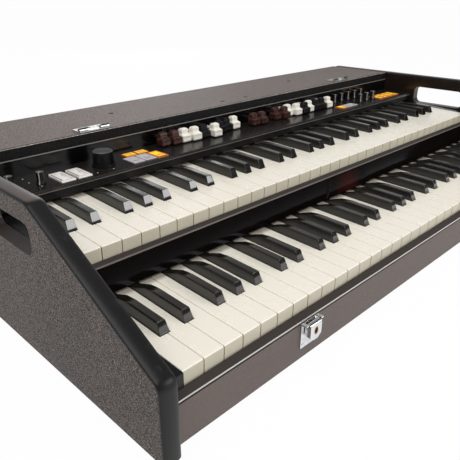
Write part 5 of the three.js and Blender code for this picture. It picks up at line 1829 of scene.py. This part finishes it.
@dataclass
class Studio:
    """Pale floor, soft lamps and the camera."""

    eye: tuple[float, float, float] = (-0.638, -0.4933, 0.3525)
    aim: tuple[float, float, float] = (0.6443, 0.6411, -0.417)
    lens: float = 41.76
    floor_size: float = 30.0
    floor_glow: float = 0.97
    ambient: float = 0.5
    overhead: float = 0.25
    front_dark: float = 0.12

    def build(self) -> None:
        """Sets up the studio round the organ."""
        bpy.context.scene.view_settings.view_transform = "Standard"
        self._camera()
        self._world()
        self._floor()
        self._lamp("top_lamp", (-1.0, -0.5, 2.1), (0.0, 0.0, 0.1), 1.7, 25.0)
        self._lamp("front_box", (0.6, -1.5, 0.75), (-0.2, -0.1, 0.1), 0.8, 9.0)
        self._lamp("rear_card", (1.35, 2.2, 0.72), (-0.1, 0.1, 0.15), 0.9, 5.0)

    def _camera(self) -> None:
        """Puts the camera where the photographer stood."""
        turn = Vector(self.aim).to_track_quat("-Z", "Y").to_euler()
        bpy.ops.object.select_all(action="DESELECT")
        bpy.ops.object.camera_add(location=self.eye, rotation=turn)
        camera = bpy.context.object
        camera.name = "photographer"
        camera.data.lens = self.lens
        camera.data.sensor_width = 36.0
        camera.data.clip_start = 0.01
        bpy.context.scene.camera = camera

    def _lamp(
        self, name: str, place: Sequence[float], target: Sequence[float], size: float, power: float
    ) -> None:
        """Hangs a square soft lamp that faces a point."""
        turn = (Vector(target) - Vector(place)).to_track_quat("-Z", "Y").to_euler()
        bpy.ops.object.select_all(action="DESELECT")
        bpy.ops.object.light_add(type="AREA", location=place, rotation=turn)
        lamp = bpy.context.object
        lamp.name = name
        lamp.data.size = size
        lamp.data.energy = power

    @staticmethod
    def _seen(tree: bpy.types.NodeTree) -> bpy.types.NodeSocket:
        """Tells in a node tree whether a ray comes from the camera, a reflection or through glass."""
        path = tree.nodes.new("ShaderNodeLightPath")
        seen = Wire(tree, path.outputs["Is Camera Ray"])
        seen = seen + Wire(tree, path.outputs["Is Glossy Ray"])
        seen = seen + Wire(tree, path.outputs["Is Transmission Ray"])
        seen.socket.node.use_clamp = True
        return seen.socket

    def _world(self) -> None:
        """Lights evenly from all round; reflections see white behind the organ, less in front and overhead."""
        world = bpy.data.worlds.new("studio_light")
        bpy.context.scene.world = world
        world.use_nodes = True
        tree = world.node_tree
        tree.nodes.clear()
        output = tree.nodes.new("ShaderNodeOutputWorld")
        choice = tree.nodes.new("ShaderNodeMixShader")
        soft = tree.nodes.new("ShaderNodeBackground")
        soft.inputs["Strength"].default_value = self.ambient
        white = tree.nodes.new("ShaderNodeBackground")
        for shade in (soft, white):
            shade.inputs["Color"].default_value = (1, 1, 1, 1)
        direction = tree.nodes.new("ShaderNodeTexCoord")
        split = tree.nodes.new("ShaderNodeSeparateXYZ")
        tree.links.new(direction.outputs["Generated"], split.inputs[0])
        ceiling = self._ramp(tree, split.outputs["Z"], (0.1, 0.6), (0.9, self.overhead))
        rear = self._ramp(tree, split.outputs["Y"], (-0.35, 0.1), (self.front_dark, 1.0))
        camera = tree.nodes.new("ShaderNodeLightPath").outputs["Is Camera Ray"]
        strength = ceiling * rear + Wire(tree, camera)
        strength.socket.node.use_clamp = True
        tree.links.new(strength.socket, white.inputs["Strength"])
        tree.links.new(self._seen(tree), choice.inputs[0])
        tree.links.new(soft.outputs[0], choice.inputs[1])
        tree.links.new(white.outputs[0], choice.inputs[2])
        tree.links.new(choice.outputs[0], output.inputs["Surface"])

    @staticmethod
    def _ramp(
        tree: bpy.types.NodeTree, value: bpy.types.NodeSocket, ends: Sequence[float], results: Sequence[float]
    ) -> Wire:
        """Smoothly turns a value between two ends into one between two results."""
        ramp = tree.nodes.new("ShaderNodeMapRange")
        ramp.interpolation_type = "SMOOTHSTEP"
        for name, number in zip(("From Min", "From Max", "To Min", "To Max"), (*ends, *results)):
            ramp.inputs[name].default_value = number
        tree.links.new(value, ramp.inputs["Value"])
        return Wire(tree, ramp.outputs["Result"])

    def _floor(self) -> None:
        """Lays the floor, which is nearly white and keeps a soft shadow."""
        bpy.ops.object.select_all(action="DESELECT")
        bpy.ops.mesh.primitive_plane_add(size=self.floor_size, location=(0, 0, 0))
        floor = Bench.named("studio_floor")
        material = bpy.data.materials.new("pale_floor")
        material.use_nodes = True
        tree = material.node_tree
        tree.nodes.clear()
        output = tree.nodes.new("ShaderNodeOutputMaterial")
        matt = tree.nodes.new("ShaderNodeBsdfDiffuse")
        matt.inputs["Color"].default_value = (0.88, 0.88, 0.88, 1)
        white = tree.nodes.new("ShaderNodeEmission")
        white.inputs["Strength"].default_value = 1.0
        choice = tree.nodes.new("ShaderNodeMixShader")
        share = Wire(tree, self._seen(tree)) * self.floor_glow
        tree.links.new(share.socket, choice.inputs[0])
        tree.links.new(matt.outputs[0], choice.inputs[1])
        tree.links.new(white.outputs[0], choice.inputs[2])
        tree.links.new(choice.outputs[0], output.inputs["Surface"])
        floor.data.materials.append(material)


BANKS = (
    ButtonBank(
        "left",
        (
            CapRow(0.0, 0.0, 17.6 * MM, 27 * MM, (False, False, True), 1),
            CapRow(9.35 * MM, 29.6 * MM, 17.6 * MM, 15 * MM, (True, True), 2),
        ),
    ),
    ButtonBank("centre", (CapRow(0.0, 0.0, 15.8 * MM, 18 * MM, (True, False, False), 1),)),
    ButtonBank("right", (CapRow(0.0, 0.0, 17.3 * MM, 27 * MM, (True, True, True, True), 2),)),
)


def main() -> None:
    """Builds every sub-assembly in turn."""
    logging.basicConfig(level=logging.INFO, format="%(message)s")
    assemblies = [
        Studio(),
        Carcass(),
        EdgeStripRun("left"),
        EdgeStripRun("right"),
        CoverHardware(),
        Latch("left"),
        Latch("right"),
        Manual("upper", "control_panel"),
        Manual("lower", "middle_fascia"),
        KeySlips(),
        Fascia(),
        ControlDeck(),
        Drawbars(),
        VolumeKnob(),
        PointerKnobs(),
        RockerTabs(),
        *BANKS,
        Interior(),
    ]
    for assembly in assemblies:
        log.info("building %s", type(assembly).__name__)
        assembly.build()


if __name__ == "__main__":
    main()
